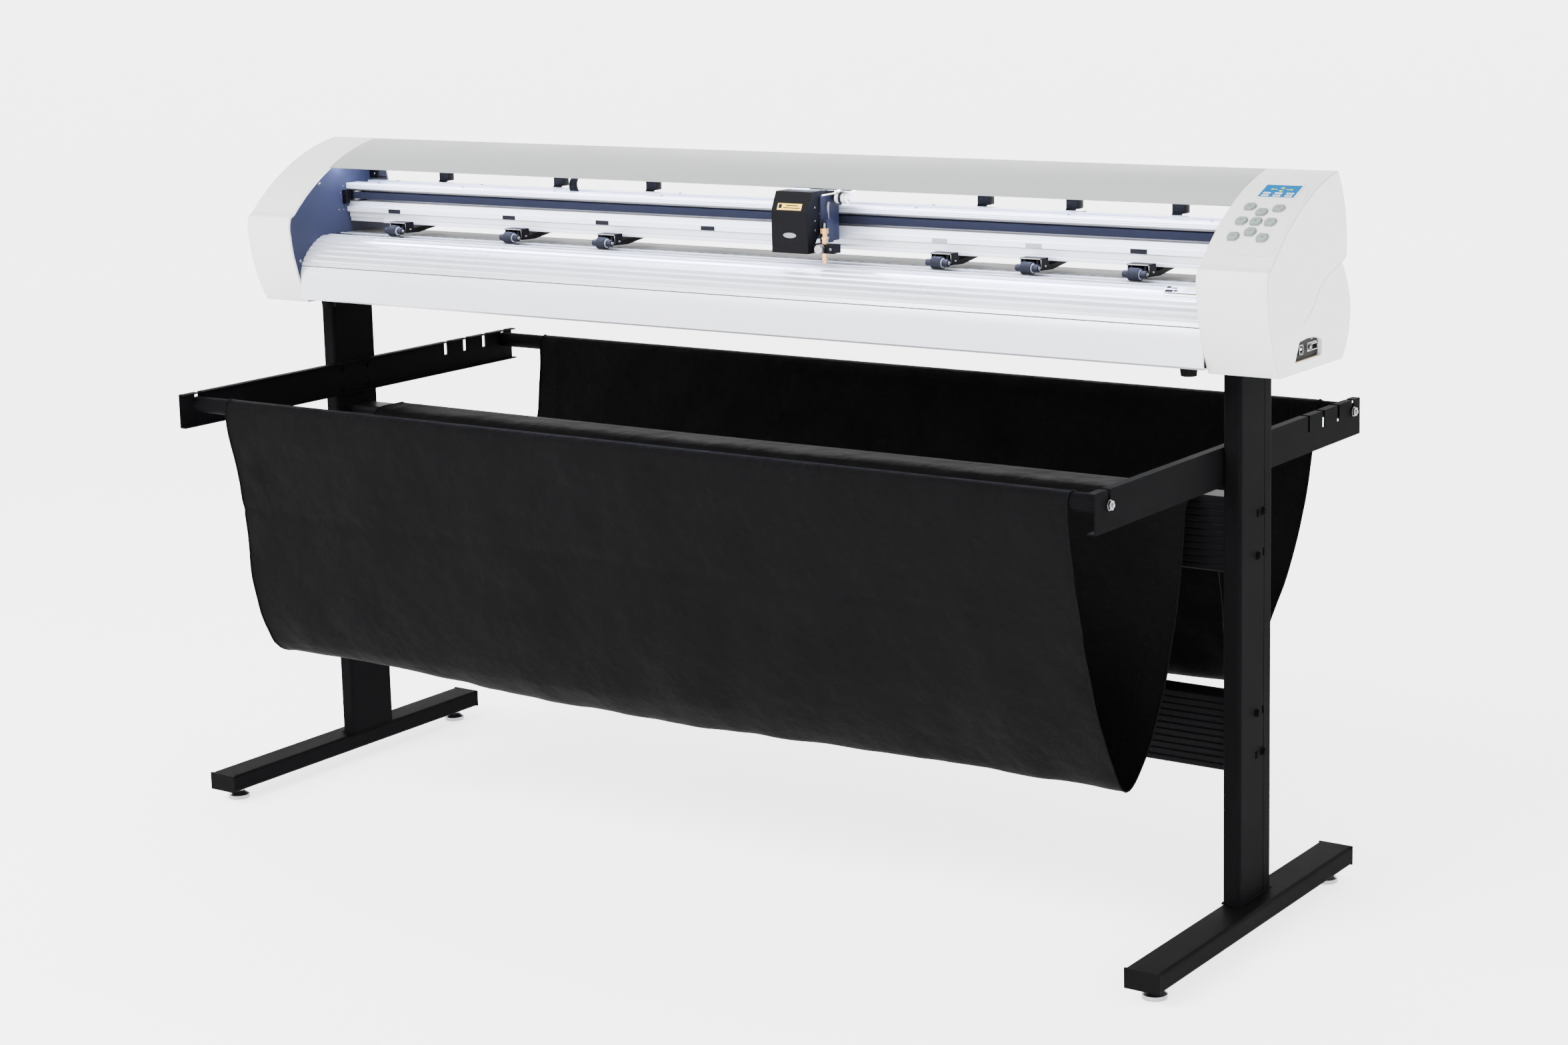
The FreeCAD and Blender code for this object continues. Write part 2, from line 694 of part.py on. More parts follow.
def make_beam():
    """Extruded rail the carriage runs along: the belt's channel in its front, the cable's groove on top."""
    face, back = -28, 43
    section = outline(
        (face, 1031), (face, 1022), (face + 3, 1020), (face + 24, 1020), (face + 24, 1000), (face + 5, 1000),
        (face + 5, 991), (face, 991), (face, 982), (face + 6, 980), (face + 6, 972), (face + 2, 970),
        (face + 2, 965), (back, 965), (back, 1031), (26, 1031), (26, 1019), (0, 1019), (0, 1031),
    )
    hollow = rounded(20, 991, 38, 44, 3)
    rail = extruded("beam_rail", "YZ_Plane", [section, hollow], "[bay_length]", "[bay_start]")
    notch_long, notch_top = 81, 972
    notch = box("beam_notch", (dim("bay_start"), face - 1, 960), (notch_long, 9, notch_top - 960))
    return cut("beam", rail, [notch])


def make_led_strip():
    """Slim lamp bar under the cover that lights the cutting area."""
    bar = box("led_strip", (dim("bay_start") + 6, -52, 1059.5), (dim("bay_length") - 12, 10, 5))
    bar.Label = "led_strip"
    return bar


def belt_wire(radius):
    """Loop round the two pulleys, seen from above."""
    left, right, along = dim("left_pulley_across"), dim("right_pulley_across"), dim("pulley_along")
    return outline(
        (left, along - radius), (right, along - radius), ((right + radius, along), (right, along + radius)),
        (left, along + radius), ((left - radius, along), (left, along - radius)),
    )


def make_timing_belt():
    radius, thick, gap = dim("pulley_diameter") / 2, dim("belt_thickness"), 0.3
    wires = [belt_wire(radius + gap + thick), belt_wire(radius + gap)]
    return extruded("timing_belt", "XY_Plane", wires, "[belt_width]", "[belt_bottom]")


def make_pulley(side, name):
    """Belt pulley with two flanges, bored for its pin or motor shaft."""
    across, along = dim(side + "_pulley_across"), dim("pulley_along")
    low, high = dim("belt_bottom"), dim("belt_width")
    flange, flange_thick, gap = 17, 1, 0.4
    hub = rod(name + "_hub", (across, along, low - gap), (0, 0, 1), high + 2 * gap, dim("pulley_diameter"))
    flanges = [
        rod(name + "_flange_low", (across, along, low - gap - flange_thick), (0, 0, 1), flange_thick, flange),
        rod(name + "_flange_top", (across, along, low + high + gap), (0, 0, 1), flange_thick, flange),
    ]
    bore = rod(name + "_bore", (across, along, low - 10), (0, 0, 1), high + 20, dim("pulley_bore"))
    return cut(name, joined(name + "_solid", [hub] + flanges), [bore])


def make_drive_units():
    """Carriage motor with its shaft, feed motor, and the bracket and pin of the idler pulley."""
    along, belt_low, belt_high = dim("pulley_along"), dim("belt_bottom"), dim("belt_width")
    pin, room = dim("pulley_pin"), 2.4
    motor, motor_high = 38, 46
    right = dim("right_pulley_across")
    carriage_motor = joined("carriage_motor", [
        box("carriage_motor_body", (right - 14, along - motor / 2 + 2, belt_low - room - motor_high),
            (motor, motor, motor_high)),
        rod("carriage_motor_shaft", (right, along, belt_low - room), (0, 0, 1), belt_high + 2 * room, pin),
    ])
    feed_motor = joined("feed_motor", [
        box("feed_motor_body", (857, 8, 874), (56, 56, 56)),
        rod("feed_motor_shaft", (849, 36, 902), (1, 0, 0), 10, pin),
    ])
    left = dim("left_pulley_across")
    block_low, block_deep, block_thick, block_high = belt_low - 3.8, 20, 1.8, 19.6
    corner = (dim("bay_start"), along - block_deep / 2, block_low)
    idler = joined("idler_bracket", [
        box("idler_bracket_low", corner, (26, block_deep, block_thick)),
        box("idler_bracket_wall", corner, (block_thick, block_deep, block_high)),
        rod("idler_pin", (left, along, block_low), (0, 0, 1), block_high, pin),
    ])
    return grouped("drive_units", [carriage_motor, feed_motor, idler])


def make_mainboard():
    """Control board in the console end, with its USB and serial sockets at the recess."""
    board_up, board_thick = 858.4, 1.6
    top = board_up + board_thick
    board = box("board", (871, -95, board_up), (70, 150, board_thick))
    usb = box("usb_socket", (930, -68, top), (19, 12, 14))
    usb_room = box("usb_room", (939, -66.2, top + 3), (12, 8.4, 8))
    serial = box("serial_socket", (930, -35.5, top), (15.6, 31, 13))
    serial_nose = box("serial_nose", (940, -28.5, top + 2.4), (9.5, 17, 8.4))
    heat_sink = box("board_heat_sink", (880, -40, top), (30, 40, 16))
    chips = [box("board_chip_%d" % n, (874 + 16 * n, 20, top), (12, 12, 2)) for n in range(3)]
    sockets = cut("usb_shell", usb, [usb_room])
    return joined("mainboard", [board, sockets, serial, serial_nose, heat_sink] + chips)


def make_lcd_panel():
    panel = on_console(
        "lcd_panel", dim("screen_across"), SCREEN_TURN, dim("screen_wide"), dim("screen_high"),
        dim("screen_thick"), -0.2,
    )
    panel.Label = "lcd_panel"
    return panel


def make_ribbon_cable():
    """Flat cable that feeds the carriage: along the beam's groove, round a bend, and back to the carriage."""
    low, thick, bend, wide = 1021.4, 1.4, 18, 20
    left, right, carriage_end = -365, 842, dim("carriage_left") + 12
    top = low + 2 * bend
    wire = outline(
        (right, low), (left, low), ((left - bend, low + bend), (left, top)), (carriage_end, top),
        (carriage_end, top - thick), (left, top - thick),
        ((left - bend + thick, low + bend), (left, low + thick)), (right, low + thick),
    )
    cable = extruded("ribbon_cable", "XZ_Plane", [wire], str(wide))
    cable.Placement.Base = Vector(0, 12, 0)
    return cable


def make_pinch_pivot_rod():
    start = (dim("bay_start"), dim("pivot_along"), dim("pivot_up"))
    pivot = rod("pinch_pivot_rod", start, (1, 0, 0), dim("bay_length"), dim("pivot_diameter"))
    bind(pivot, Radius="[pivot_diameter] / 2", Height="[bay_length]")
    pivot.Label = "pinch_pivot_rod"
    return pivot


def make_rubber_feet():
    """Tapered rubber feet under the head, in front of the columns and behind them."""
    tall, wide, narrow, shell_bottom = 17, 27, 22, 843
    parts = []
    for across, side in ((-837, "left"), (799, "right")):
        for along, end in ((-102, "front"), (40, "rear")):
            foot = doc.addObject("Part::Cone", "rubber_foot_%s_%s" % (side, end))
            foot.Radius1, foot.Radius2, foot.Height = narrow / 2, wide / 2, tall
            foot.Placement = Placement(Vector(across, along, shell_bottom - tall), Rotation())
            parts.append(foot)
    return grouped("rubber_feet", parts)


# ---- head: feed ----------------------------------------------------------------------------------

ROLLER_PLACES = (-717, -462, -267, 365, 518, 693)


def make_feed_shaft():
    """Grit shaft across the head, journalled in both side plates, with its pulley in the console end."""
    along, up = dim("shaft_along"), dim("shaft_up")
    clearance, reach = 2, 15
    start, length = dim("bay_start") + clearance, dim("bay_length") - 2 * clearance
    main = rod("shaft_main", (start, along, up), (1, 0, 0), length, dim("shaft_diameter"))
    out = dim("plate_thickness") + clearance + reach
    whole = length + 2 * out
    journal = rod("shaft_journal", (start - out, along, up), (1, 0, 0), whole, dim("journal_diameter"))
    pulley = rod("shaft_pulley", (dim("right_cap_start") + 8, along, up), (1, 0, 0), 11, 28)
    return joined("feed_shaft", [main, journal, pulley])


def make_pinch_roller(number, across):
    name = "pinch_roller_%d" % number
    wide = dim("roller_width")
    start = (across - wide / 2, dim("shaft_along"), dim("roller_up"))
    tyre = rod(name + "_tyre", start, (1, 0, 0), wide, dim("roller_diameter"))
    bore = rod(name + "_bore", (start[0] - 1, start[1], start[2]), (1, 0, 0), wide + 2, dim("roller_bore"))
    return cut(name, tyre, [bore])


def make_pinch_arm(number, across):
    """Channel under the beam: the roller's axle in front, a pivot behind the beam and a tab to lift it by."""
    name = "pinch_arm_%d" % number
    wide, cheek = dim("arm_width"), dim("arm_cheek")
    along, up = dim("shaft_along"), dim("roller_up")
    side = outline(
        (-50, 952.8), (-50, 970.5), (-31, 970.5), (-29.5, 959), (40, 963.5), (44.5, 964.5), (45.2, 967),
        (45.2, 1018), (66, 1024), (83, 1038), (83, 1043), (79, 1043), (64, 1028.5), (54, 1026), (56, 980),
        (56, 966), (46, 960), (26, 957), (-5, 953), (-18, 951.4),
    )
    inside = outline((-51, 940), (-51, 968.5), (-33, 968.5), (-31.5, 957), (36, 961), (36, 940))
    lug = outline(
        (along, up - 3.5), (along, up + 3.5), (-52, 962), (-48, 969.5), (-44, 969.5), (-44, up - 3.5))
    blank = extruded(name + "_blank", "YZ_Plane", [side], "[arm_width]")
    blank.Placement.Base = Vector(across - wide / 2, 0, 0)
    room = extruded(name + "_room", "YZ_Plane", [inside], "[arm_width] - 2 * [arm_cheek]")
    room.Placement.Base = Vector(across - wide / 2 + cheek, 0, 0)
    pivot_start = (across - wide, dim("pivot_along"), dim("pivot_up"))
    pivot = rod(name + "_pivot", pivot_start, (1, 0, 0), 2 * wide, dim("pivot_bore"))
    lever = 14
    shoulder = (wide - lever) / 2 + 1
    waist = [
        box(name + "_waist_left", (across - wide / 2 - 1, 40, 990), (shoulder, 50, 60)),
        box(name + "_waist_right", (across + lever / 2, 40, 990), (shoulder, 50, 60)),
    ]
    bent = cut(name + "_bent", blank, [room, pivot] + waist)
    length, half_gap, hub, lug_wide = dim("axle_length"), dim("roller_width") / 2 + 0.7, 10, 4
    start = across - length / 2
    parts = [bent, rod(name + "_axle", (start, along, up), (1, 0, 0), length, dim("roller_axle"))]
    for end, left in (("left", start), ("right", across + half_gap)):
        parts.append(rod(name + "_hub_" + end, (left, along, up), (1, 0, 0), length / 2 - half_gap, hub))
        plate = extruded(name + "_lug_" + end, "YZ_Plane", [lug], str(lug_wide))
        lug_left = across + half_gap if end == "right" else across - half_gap - lug_wide
        plate.Placement.Base = Vector(lug_left, 0, 0)
        parts.append(plate)
    return joined(name, parts)


# ---- head: carriage ------------------------------------------------------------------------------


def make_carriage_frame():
    """Plate in front of the beam with a hook over the beam's top flange, and the blade clamp's upright."""
    left, right = dim("carriage_left"), dim("frame_right")
    width = right - left
    plate = box("frame_plate", (left, -38, 980), (width, 6, 64))
    hook = box("frame_hook", (left, -38, 1031.6), (width, 15, 4))
    upright = box("frame_upright", (169.2, -80, 980), (2.8, 43, 70))
    guide = box("frame_guide", (171, -80, 980), (11, 18, 35))
    guide_wheels = [
        rod("frame_wheel_%d" % n, (left + 18 + 38 * n, -41, 1040), (0, 1, 0), 3, 14) for n in range(2)
    ]
    white_wheel = rod("frame_pulley", (184, -44, 1045), (1, 0, 0), 14, 17)
    wheel_stem = rod("frame_pulley_stem", (171, -44, 1045), (1, 0, 0), 15, 6)
    return joined("carriage_frame", [plate, hook, upright, guide, white_wheel, wheel_stem] + guide_wheels)


def make_carriage_cover():
    """Folded black cover over the carriage motor: upright face, leaning top and open back."""
    sheet_thick = 1.6
    path = [(-112, 966), (-112, 1029), (-98.5, 1058), (-38, 1058)]
    folded = band(path, sheet_thick)
    front = extruded("cover_front", "YZ_Plane", [folded], "[carriage_box]", "[carriage_left]")
    cheek_outline = outline(*path, (-38, 1052), (-72, 1052), (-72, 1004), (-92, 980), (-92, 966))
    cheeks = []
    right_start = "[carriage_left] + [carriage_box] - %s" % sheet_thick
    for name, start in (("left", "[carriage_left]"), ("right", right_start)):
        cheek = extruded("cover_cheek_" + name, "YZ_Plane", [cheek_outline], str(sheet_thick), start)
        cheeks.append(cheek)
    return joined("carriage_cover", [front] + cheeks)


def make_blade_clamp():
    """Black clamp that slides up and down with the knife, with its thumbscrew in front."""
    across, along = dim("blade_across"), dim("blade_along")
    low, high = 967, 13
    block = box("clamp_block", (across - 16, along - 9, low), (38, 19, high))
    bore = rod("clamp_bore", (across, along, low - 1), (0, 0, 1), high + 2, dim("barrel_bore"))
    bored = cut("clamp_body", block, [bore])
    screw = rod("clamp_screw", (across, along - 9, low + high / 2), (0, -1, 0), 9, 14)
    rail = box("clamp_rail", (across - 11, along + 10, low), (6, 1.7, high + 30))
    return joined("blade_clamp", [bored, screw, rail])


def make_blade_holder():
    """Brass barrel with a knurled depth knob, a locking ring and the ejector pin on top."""
    across, along = dim("blade_across"), dim("blade_along")
    parts = []
    for name, low, high, wide in (
        ("nose", 951.5, 3.5, 7), ("barrel", 955, 26, dim("barrel_diameter")), ("body", 980.2, 8, 10.5),
        ("flange", 988, 3, 13), ("thread", 991, 5, 8), ("knob", 996, 8, 11.5), ("pin", 1004, 7, 2.6),
        ("tip", 950, 1.5, 2),
    ):
        parts.append(rod("holder_" + name, (across, along, low), (0, 0, 1), high, wide))
    return joined("blade_holder", parts)


# ---- console buttons -----------------------------------------------------------------------------


def make_button(number, column, turn):
    return key_block("button_%d" % number, column, turn, 0, dim("button_thick"), dim("button_proud"))


# ---- the whole object ----------------------------------------------------------------------------


def make_everything():
    nodes = []
    for side in SIDES:
        nodes += [make_foot(side), make_column(side), make_basket_arm(side), make_side_plate(side)]
    nodes += [
        make_foot_end_caps(), make_levelling_feet(), make_crossbeams(), make_basket_rods(),
        make_basket_front(), make_basket_rear(), make_stand_bolts(), make_end_cap_left(),
        make_end_cap_right(), make_power_inlet(), make_top_cover(), make_platen(), make_cutting_strip(),
        make_front_shell(), make_base_pan(), make_beam(), make_led_strip(), make_timing_belt(),
        make_drive_units(), make_mainboard(), make_lcd_panel(),
        make_ribbon_cable(), make_pinch_pivot_rod(), make_rubber_feet(), make_feed_shaft(),
        make_pulley("right", "drive_pulley"), make_pulley("left", "idler_pulley"),
        make_carriage_frame(), make_carriage_cover(), make_blade_clamp(), make_blade_holder(),
    ]
    for number, across in enumerate(ROLLER_PLACES, start=1):
        nodes += [make_pinch_arm(number, across), make_pinch_roller(number, across)]
    for number, (column, turn) in enumerate(BUTTONS, start=1):
        nodes.append(make_button(number, column, turn))
    return nodes


def check_document(nodes):
    doc.recompute()
    for item in doc.Objects:
        if "Invalid" in item.State or "Error" in item.State:
            raise RuntimeError("%s failed: %s" % (item.Name, item.State))
    for node in nodes:
        if node.Shape.isNull() or not node.Shape.isValid():
            raise RuntimeError("%s has no valid shape" % node.Label)


fill_sheet()
sub_parts = make_everything()
check_document(sub_parts)
os.makedirs("parts", exist_ok=True)
for sub_part in sub_parts:
    sub_part.Shape.exportStep("parts/%s.step" % sub_part.Label)
whole = Part.makeCompound([sub_part.Shape for sub_part in sub_parts])
print(len(sub_parts), "sub-parts", whole.BoundBox)
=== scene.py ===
"""Looks of a vinyl cutter, 1.9 m wide, on a black stand with a cloth basket. +Z is up, -Y is in front."""
import json
import math

import bpy
from mathutils import Matrix, Vector, noise


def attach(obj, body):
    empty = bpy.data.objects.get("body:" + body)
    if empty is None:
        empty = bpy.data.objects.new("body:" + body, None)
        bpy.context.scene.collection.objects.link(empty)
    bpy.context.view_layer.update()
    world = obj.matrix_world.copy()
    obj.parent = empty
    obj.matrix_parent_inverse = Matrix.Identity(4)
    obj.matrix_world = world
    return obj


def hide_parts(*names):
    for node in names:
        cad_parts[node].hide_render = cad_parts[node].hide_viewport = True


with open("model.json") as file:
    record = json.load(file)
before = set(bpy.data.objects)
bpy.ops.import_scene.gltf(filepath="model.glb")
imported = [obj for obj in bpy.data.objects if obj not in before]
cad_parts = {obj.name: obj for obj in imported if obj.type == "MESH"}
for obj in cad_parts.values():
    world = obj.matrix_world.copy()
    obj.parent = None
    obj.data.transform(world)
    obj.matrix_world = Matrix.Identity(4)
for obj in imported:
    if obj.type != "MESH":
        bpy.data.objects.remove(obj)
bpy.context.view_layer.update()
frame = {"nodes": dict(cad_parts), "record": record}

MM = 0.001  # shapes below are in millimetres; piece() turns them into metres


# ---- materials -----------------------------------------------------------------------------------


def new_material(name):
    """A fresh node material: its nodes, links, shader and object coordinates."""
    mat = bpy.data.materials.new(name)
    mat.use_nodes = True
    nodes, links = mat.node_tree.nodes, mat.node_tree.links
    shader = nodes["Principled BSDF"]
    coordinates = nodes.new("ShaderNodeTexCoord")
    return mat, nodes, links, shader, coordinates.outputs["Object"]


def add_noise(nodes, links, where, scale, detail):
    """Noise over a place in the object."""
    noise_node = nodes.new("ShaderNodeTexNoise")
    noise_node.inputs["Scale"].default_value = scale
    noise_node.inputs["Detail"].default_value = detail
    links.new(where, noise_node.inputs["Vector"])
    return noise_node.outputs["Fac"]


def add_relief(nodes, links, height, strength, distance, under=None):
    """Normal of a relief, laid over another normal if one is given."""
    bump = nodes.new("ShaderNodeBump")
    bump.inputs["Strength"].default_value = strength
    bump.inputs["Distance"].default_value = distance
    links.new(height, bump.inputs["Height"])
    if under is not None:
        links.new(under, bump.inputs["Normal"])
    return bump.outputs["Normal"]


def soften_edges(nodes, radius):
    """Rounds every edge in shading, as paint and moulding do."""
    bevel = nodes.new("ShaderNodeBevel")
    bevel.samples = 4
    bevel.inputs["Radius"].default_value = radius
    return bevel.outputs["Normal"]


def surface(name, colour, rough, metal=0.0, grain=900.0, bump=0.05, tint=0.04, edge=0.0006,
            wear=0.08, shine=0.5, glow=0.0):
    """Coated or moulded surface: fine grain in the relief, slow drift in the tone and in the gloss."""
    mat, nodes, links, shader, where = new_material(name)
    shader.inputs["Metallic"].default_value = metal
    shader.inputs["Specular IOR Level"].default_value = shine
    shader.inputs["Emission Color"].default_value = colour + (1,)
    shader.inputs["Emission Strength"].default_value = glow
    fine = add_noise(nodes, links, where, grain, 3)
    slow = add_noise(nodes, links, where, 6, 5)
    tone = nodes.new("ShaderNodeValToRGB")
    tone.color_ramp.elements[0].position = 0.3
    tone.color_ramp.elements[1].position = 0.7
    tone.color_ramp.elements[0].color = [c * (1 - tint) for c in colour] + [1]
    tone.color_ramp.elements[1].color = [min(1, c * (1 + tint)) for c in colour] + [1]
    links.new(slow, tone.inputs["Fac"])
    links.new(tone.outputs["Color"], shader.inputs["Base Color"])
    gloss = nodes.new("ShaderNodeMapRange")
    gloss.inputs["From Min"].default_value = 0.3
    gloss.inputs["From Max"].default_value = 0.7
    gloss.inputs["To Min"].default_value = max(0.02, rough - wear / 2)
    gloss.inputs["To Max"].default_value = min(1, rough + wear / 2)
    links.new(slow, gloss.inputs["Value"])
    links.new(gloss.outputs["Result"], shader.inputs["Roughness"])
    relief = add_relief(nodes, links, fine, bump, 0.0004, soften_edges(nodes, edge))
    links.new(relief, shader.inputs["Normal"])
    return mat


def woven_cloth(name, colour):
    """Black nylon: a fine plain weave under slow creases."""
    mat, nodes, links, shader, where = new_material(name)
    weaves = []
    for direction in ("X", "Z"):
        wave = nodes.new("ShaderNodeTexWave")
        wave.bands_direction = direction
        wave.inputs["Scale"].default_value = 420
        wave.inputs["Distortion"].default_value = 0.6
        wave.inputs["Detail Scale"].default_value = 2
        links.new(where, wave.inputs["Vector"])
        weaves.append(wave)
    both = nodes.new("ShaderNodeMath")
    both.operation = "MULTIPLY"
    links.new(weaves[0].outputs["Fac"], both.inputs[0])
    links.new(weaves[1].outputs["Fac"], both.inputs[1])
    slow = add_noise(nodes, links, where, 9, 6)
    tone = nodes.new("ShaderNodeMixRGB")
    tone.inputs["Color1"].default_value = [c * 0.75 for c in colour] + [1]
    tone.inputs["Color2"].default_value = [c * 1.3 for c in colour] + [1]
    links.new(slow, tone.inputs["Fac"])
    links.new(tone.outputs["Color"], shader.inputs["Base Color"])
    shader.inputs["Roughness"].default_value = 0.62
    shader.inputs["Specular IOR Level"].default_value = 0.014
    weave = add_relief(nodes, links, both.outputs["Value"], 0.25, 0.0005)
    creases = add_relief(nodes, links, slow, 0.7, 0.02, weave)
    links.new(creases, shader.inputs["Normal"])
    return mat


def glowing(name, colour, strength):
    """Lamp diffuser with faint bands where its lamps sit."""
    mat, nodes, links, shader, where = new_material(name)
    bands = nodes.new("ShaderNodeTexWave")
    bands.inputs["Scale"].default_value = 30
    links.new(where, bands.inputs["Vector"])
    level = nodes.new("ShaderNodeMapRange")
    level.inputs["To Min"].default_value = strength * 0.85
    level.inputs["To Max"].default_value = strength
    links.new(bands.outputs["Fac"], level.inputs["Value"])
    links.new(level.outputs["Result"], shader.inputs["Emission Strength"])
    shader.inputs["Base Color"].default_value = (0.9, 0.9, 0.95, 1)
    shader.inputs["Emission Color"].default_value = colour + (1,)
    return mat


def turned_metal(name, colour):
    """Bright metal with fine turning rings in its relief."""
    mat, nodes, links, shader, where = new_material(name)
    shader.inputs["Base Color"].default_value = colour + (1,)
    shader.inputs["Metallic"].default_value = 1
    shader.inputs["Roughness"].default_value = 0.24
    stretch = nodes.new("ShaderNodeMapping")
    stretch.inputs["Scale"].default_value = (0.4, 0.4, 40)
    links.new(where, stretch.inputs["Vector"])
    rings = add_noise(nodes, links, stretch.outputs["Vector"], 40, 2)
    relief = add_relief(nodes, links, rings, 0.15, 0.0003, soften_edges(nodes, 0.0004))
    links.new(relief, shader.inputs["Normal"])
    return mat


MATERIALS = {
    "stand_black": surface(
        "stand_black", (0.0024, 0.0024, 0.0027), 0.58, grain=1400, bump=0.12, edge=0.0009, shine=0.007),
    "rail_black": surface("rail_black", (0.003, 0.003, 0.0034), 0.4, shine=0.02),
    "foot_plastic": surface("foot_plastic", (0.003, 0.003, 0.0032), 0.6, shine=0.01),
    "bright_steel": surface("bright_steel", (0.30, 0.30, 0.315), 0.28, metal=1, grain=500),
    "cloth_black": woven_cloth("cloth_black", (0.0021, 0.0021, 0.0023)),
    "cap_white": surface(
        "cap_white", (0.56, 0.56, 0.557), 0.42, grain=1600, bump=0.10, tint=0.012, edge=0.004),
    "plate_navy": surface("plate_navy", (0.016, 0.018, 0.032), 0.45, bump=0.1, shine=0.06),
    "cover_silver": surface(
        "cover_silver", (0.25, 0.26, 0.257), 0.42, metal=0.1, bump=0.08, tint=0.015, edge=0.001),
    "platen_white": surface("platen_white", (0.56, 0.57, 0.63), 0.3, metal=0.5, bump=0.03, tint=0.008),
    "pan_grey": surface("pan_grey", (0.06, 0.062, 0.062), 0.5, bump=0.12, shine=0.1),
    "beam_white": surface(
        "beam_white", (0.62, 0.635, 0.70), 0.3, metal=0.5, bump=0.03, tint=0.008, wear=0.02),
    "belt_navy": surface("belt_navy", (0.006, 0.0065, 0.011), 0.6, grain=1200, bump=0.2, shine=0.03),
    "lamp_white": glowing("lamp_white", (0.60, 0.68, 1.0), 170.0),
    "strip_grey": surface("strip_grey", (0.30, 0.31, 0.31), 0.7, bump=0.2),
    "ribbon_black": surface("ribbon_black", (0.004, 0.004, 0.005), 0.5, grain=700, bump=0.3, shine=0.03),
    "screen_blue": surface(
        "screen_blue", (0.0, 0.085, 0.22), 0.3, tint=0.05, bump=0.01, shine=0.01, glow=0.3),
    "board_dark": surface("board_dark", (0.01, 0.011, 0.013), 0.4, shine=0.15),
    "motor_black": surface("motor_black", (0.01, 0.01, 0.01), 0.4, shine=0.2),
    "rubber_black": surface("rubber_black", (0.004, 0.004, 0.004), 0.75, bump=0.25, shine=0.02),
    "inlet_black": surface("inlet_black", (0.006, 0.006, 0.006), 0.45, shine=0.2),
    "arm_black": surface("arm_black", (0.002, 0.002, 0.0025), 0.45, bump=0.1, shine=0.03),
    "roller_rubber": surface("roller_rubber", (0.012, 0.013, 0.018), 0.62, bump=0.25, shine=0.06),
    "pulley_metal": surface("pulley_metal", (0.4, 0.4, 0.41), 0.3, metal=1),
    "frame_metal": surface("frame_metal", (0.012, 0.014, 0.026), 0.45, metal=0.1, shine=0.1),
    "carriage_black": surface(
        "carriage_black", (0.004, 0.004, 0.005), 0.5, grain=1500, bump=0.15, shine=0.03),
    "holder_brass": turned_metal("holder_brass", (0.62, 0.36, 0.17)),
    "button_grey": surface("button_grey", (0.165, 0.195, 0.19), 0.45, bump=0.06, edge=0.0012, shine=0.1),
}
PAINT = {
    "screw": surface("screw_steel", (0.2, 0.2, 0.205), 0.25, metal=1),
    # near-black paint for the insides of holes, slots and recesses: painted shade
    "painted_hole_shade": surface("painted_hole_shade", (0.002, 0.002, 0.002), 0.8, shine=0.01),
    "dark_panel": surface("dark_panel", (0.012, 0.011, 0.010), 0.5, shine=0.05),
    "overlay_line": surface("overlay_line", (0.42, 0.42, 0.42), 0.5),
    "lcd_dark": surface("lcd_dark", (0.02, 0.025, 0.06), 0.4, shine=0.02),
    "lcd_pale": surface("lcd_pale", (0.55, 0.60, 0.64), 0.4, shine=0.02),
    "lcd_yellow": surface("lcd_yellow", (0.50, 0.50, 0.02), 0.4, shine=0.02),
    "grip": surface("grip_plastic", (0.006, 0.006, 0.0065), 0.5, shine=0.04, edge=0.0012),
    "overlay": surface("overlay_film", (0.60, 0.61, 0.61), 0.3, tint=0.01, bump=0.03),
    "mark": surface("printed_mark", (0.008, 0.008, 0.010), 0.5, shine=0.02),
    "key_mark": surface("key_mark", (0.10, 0.12, 0.12), 0.5, shine=0.2),
    "label_yellow": surface("label_yellow", (0.70, 0.44, 0.01), 0.4),
    "label_pale": surface("label_pale", (0.36, 0.38, 0.46), 0.4),
    "label_white": surface("label_white", (0.68, 0.70, 0.72), 0.3),
    "white_part": surface("white_part", (0.60, 0.60, 0.60), 0.4),
    "wire_grey": surface("wire_grey", (0.13, 0.13, 0.14), 0.5),
    "thread_black": surface("thread_black", (0.005, 0.005, 0.0055), 0.8, shine=0.01),
    "hub_grey": surface("hub_grey", (0.22, 0.22, 0.23), 0.4, metal=0.6),
    "hub_pale": surface("hub_pale", (0.40, 0.42, 0.48), 0.35, metal=0.5),
    "bearing_navy": surface("bearing_navy", (0.010, 0.011, 0.02), 0.35, shine=0.15),
    # grey for the caps' parting seams: painted shade in the gap between the halves
    "seam_shade_grey": surface("seam_shade_grey", (0.24, 0.24, 0.24), 0.6),
    "badge_grey": surface("badge_grey", (0.16, 0.165, 0.175), 0.4),
    "flex_black": surface("flex_black", (0.004, 0.004, 0.005), 0.5, shine=0.03),
    "red_part": surface("red_part", (0.4, 0.02, 0.02), 0.4),
    "silver": surface("silver", (0.26, 0.26, 0.27), 0.25, metal=1),
    "gold": surface("gold", (0.30, 0.22, 0.13), 0.3, metal=0.8),
}


def shade_smooth(mesh, angle):
    """Soft shading except across edges sharper than an angle in degrees."""
    for polygon in mesh.polygons:
        polygon.use_smooth = True
    mesh.set_sharp_from_angle(angle=math.radians(angle))


def dress_cad():
    """Every carried-over CAD sub-part takes its slot's material, with soft shading on its round faces."""
    slots = {row["node"]: row["material_slot"] for row in frame["record"]["subparts"]}
    for node, obj in frame["nodes"].items():
        obj.data.materials.clear()
        obj.data.materials.append(MATERIALS[slots[node]])
        shade_smooth(obj.data, 28)


# ---- helpers -------------------------------------------------------------------------------------


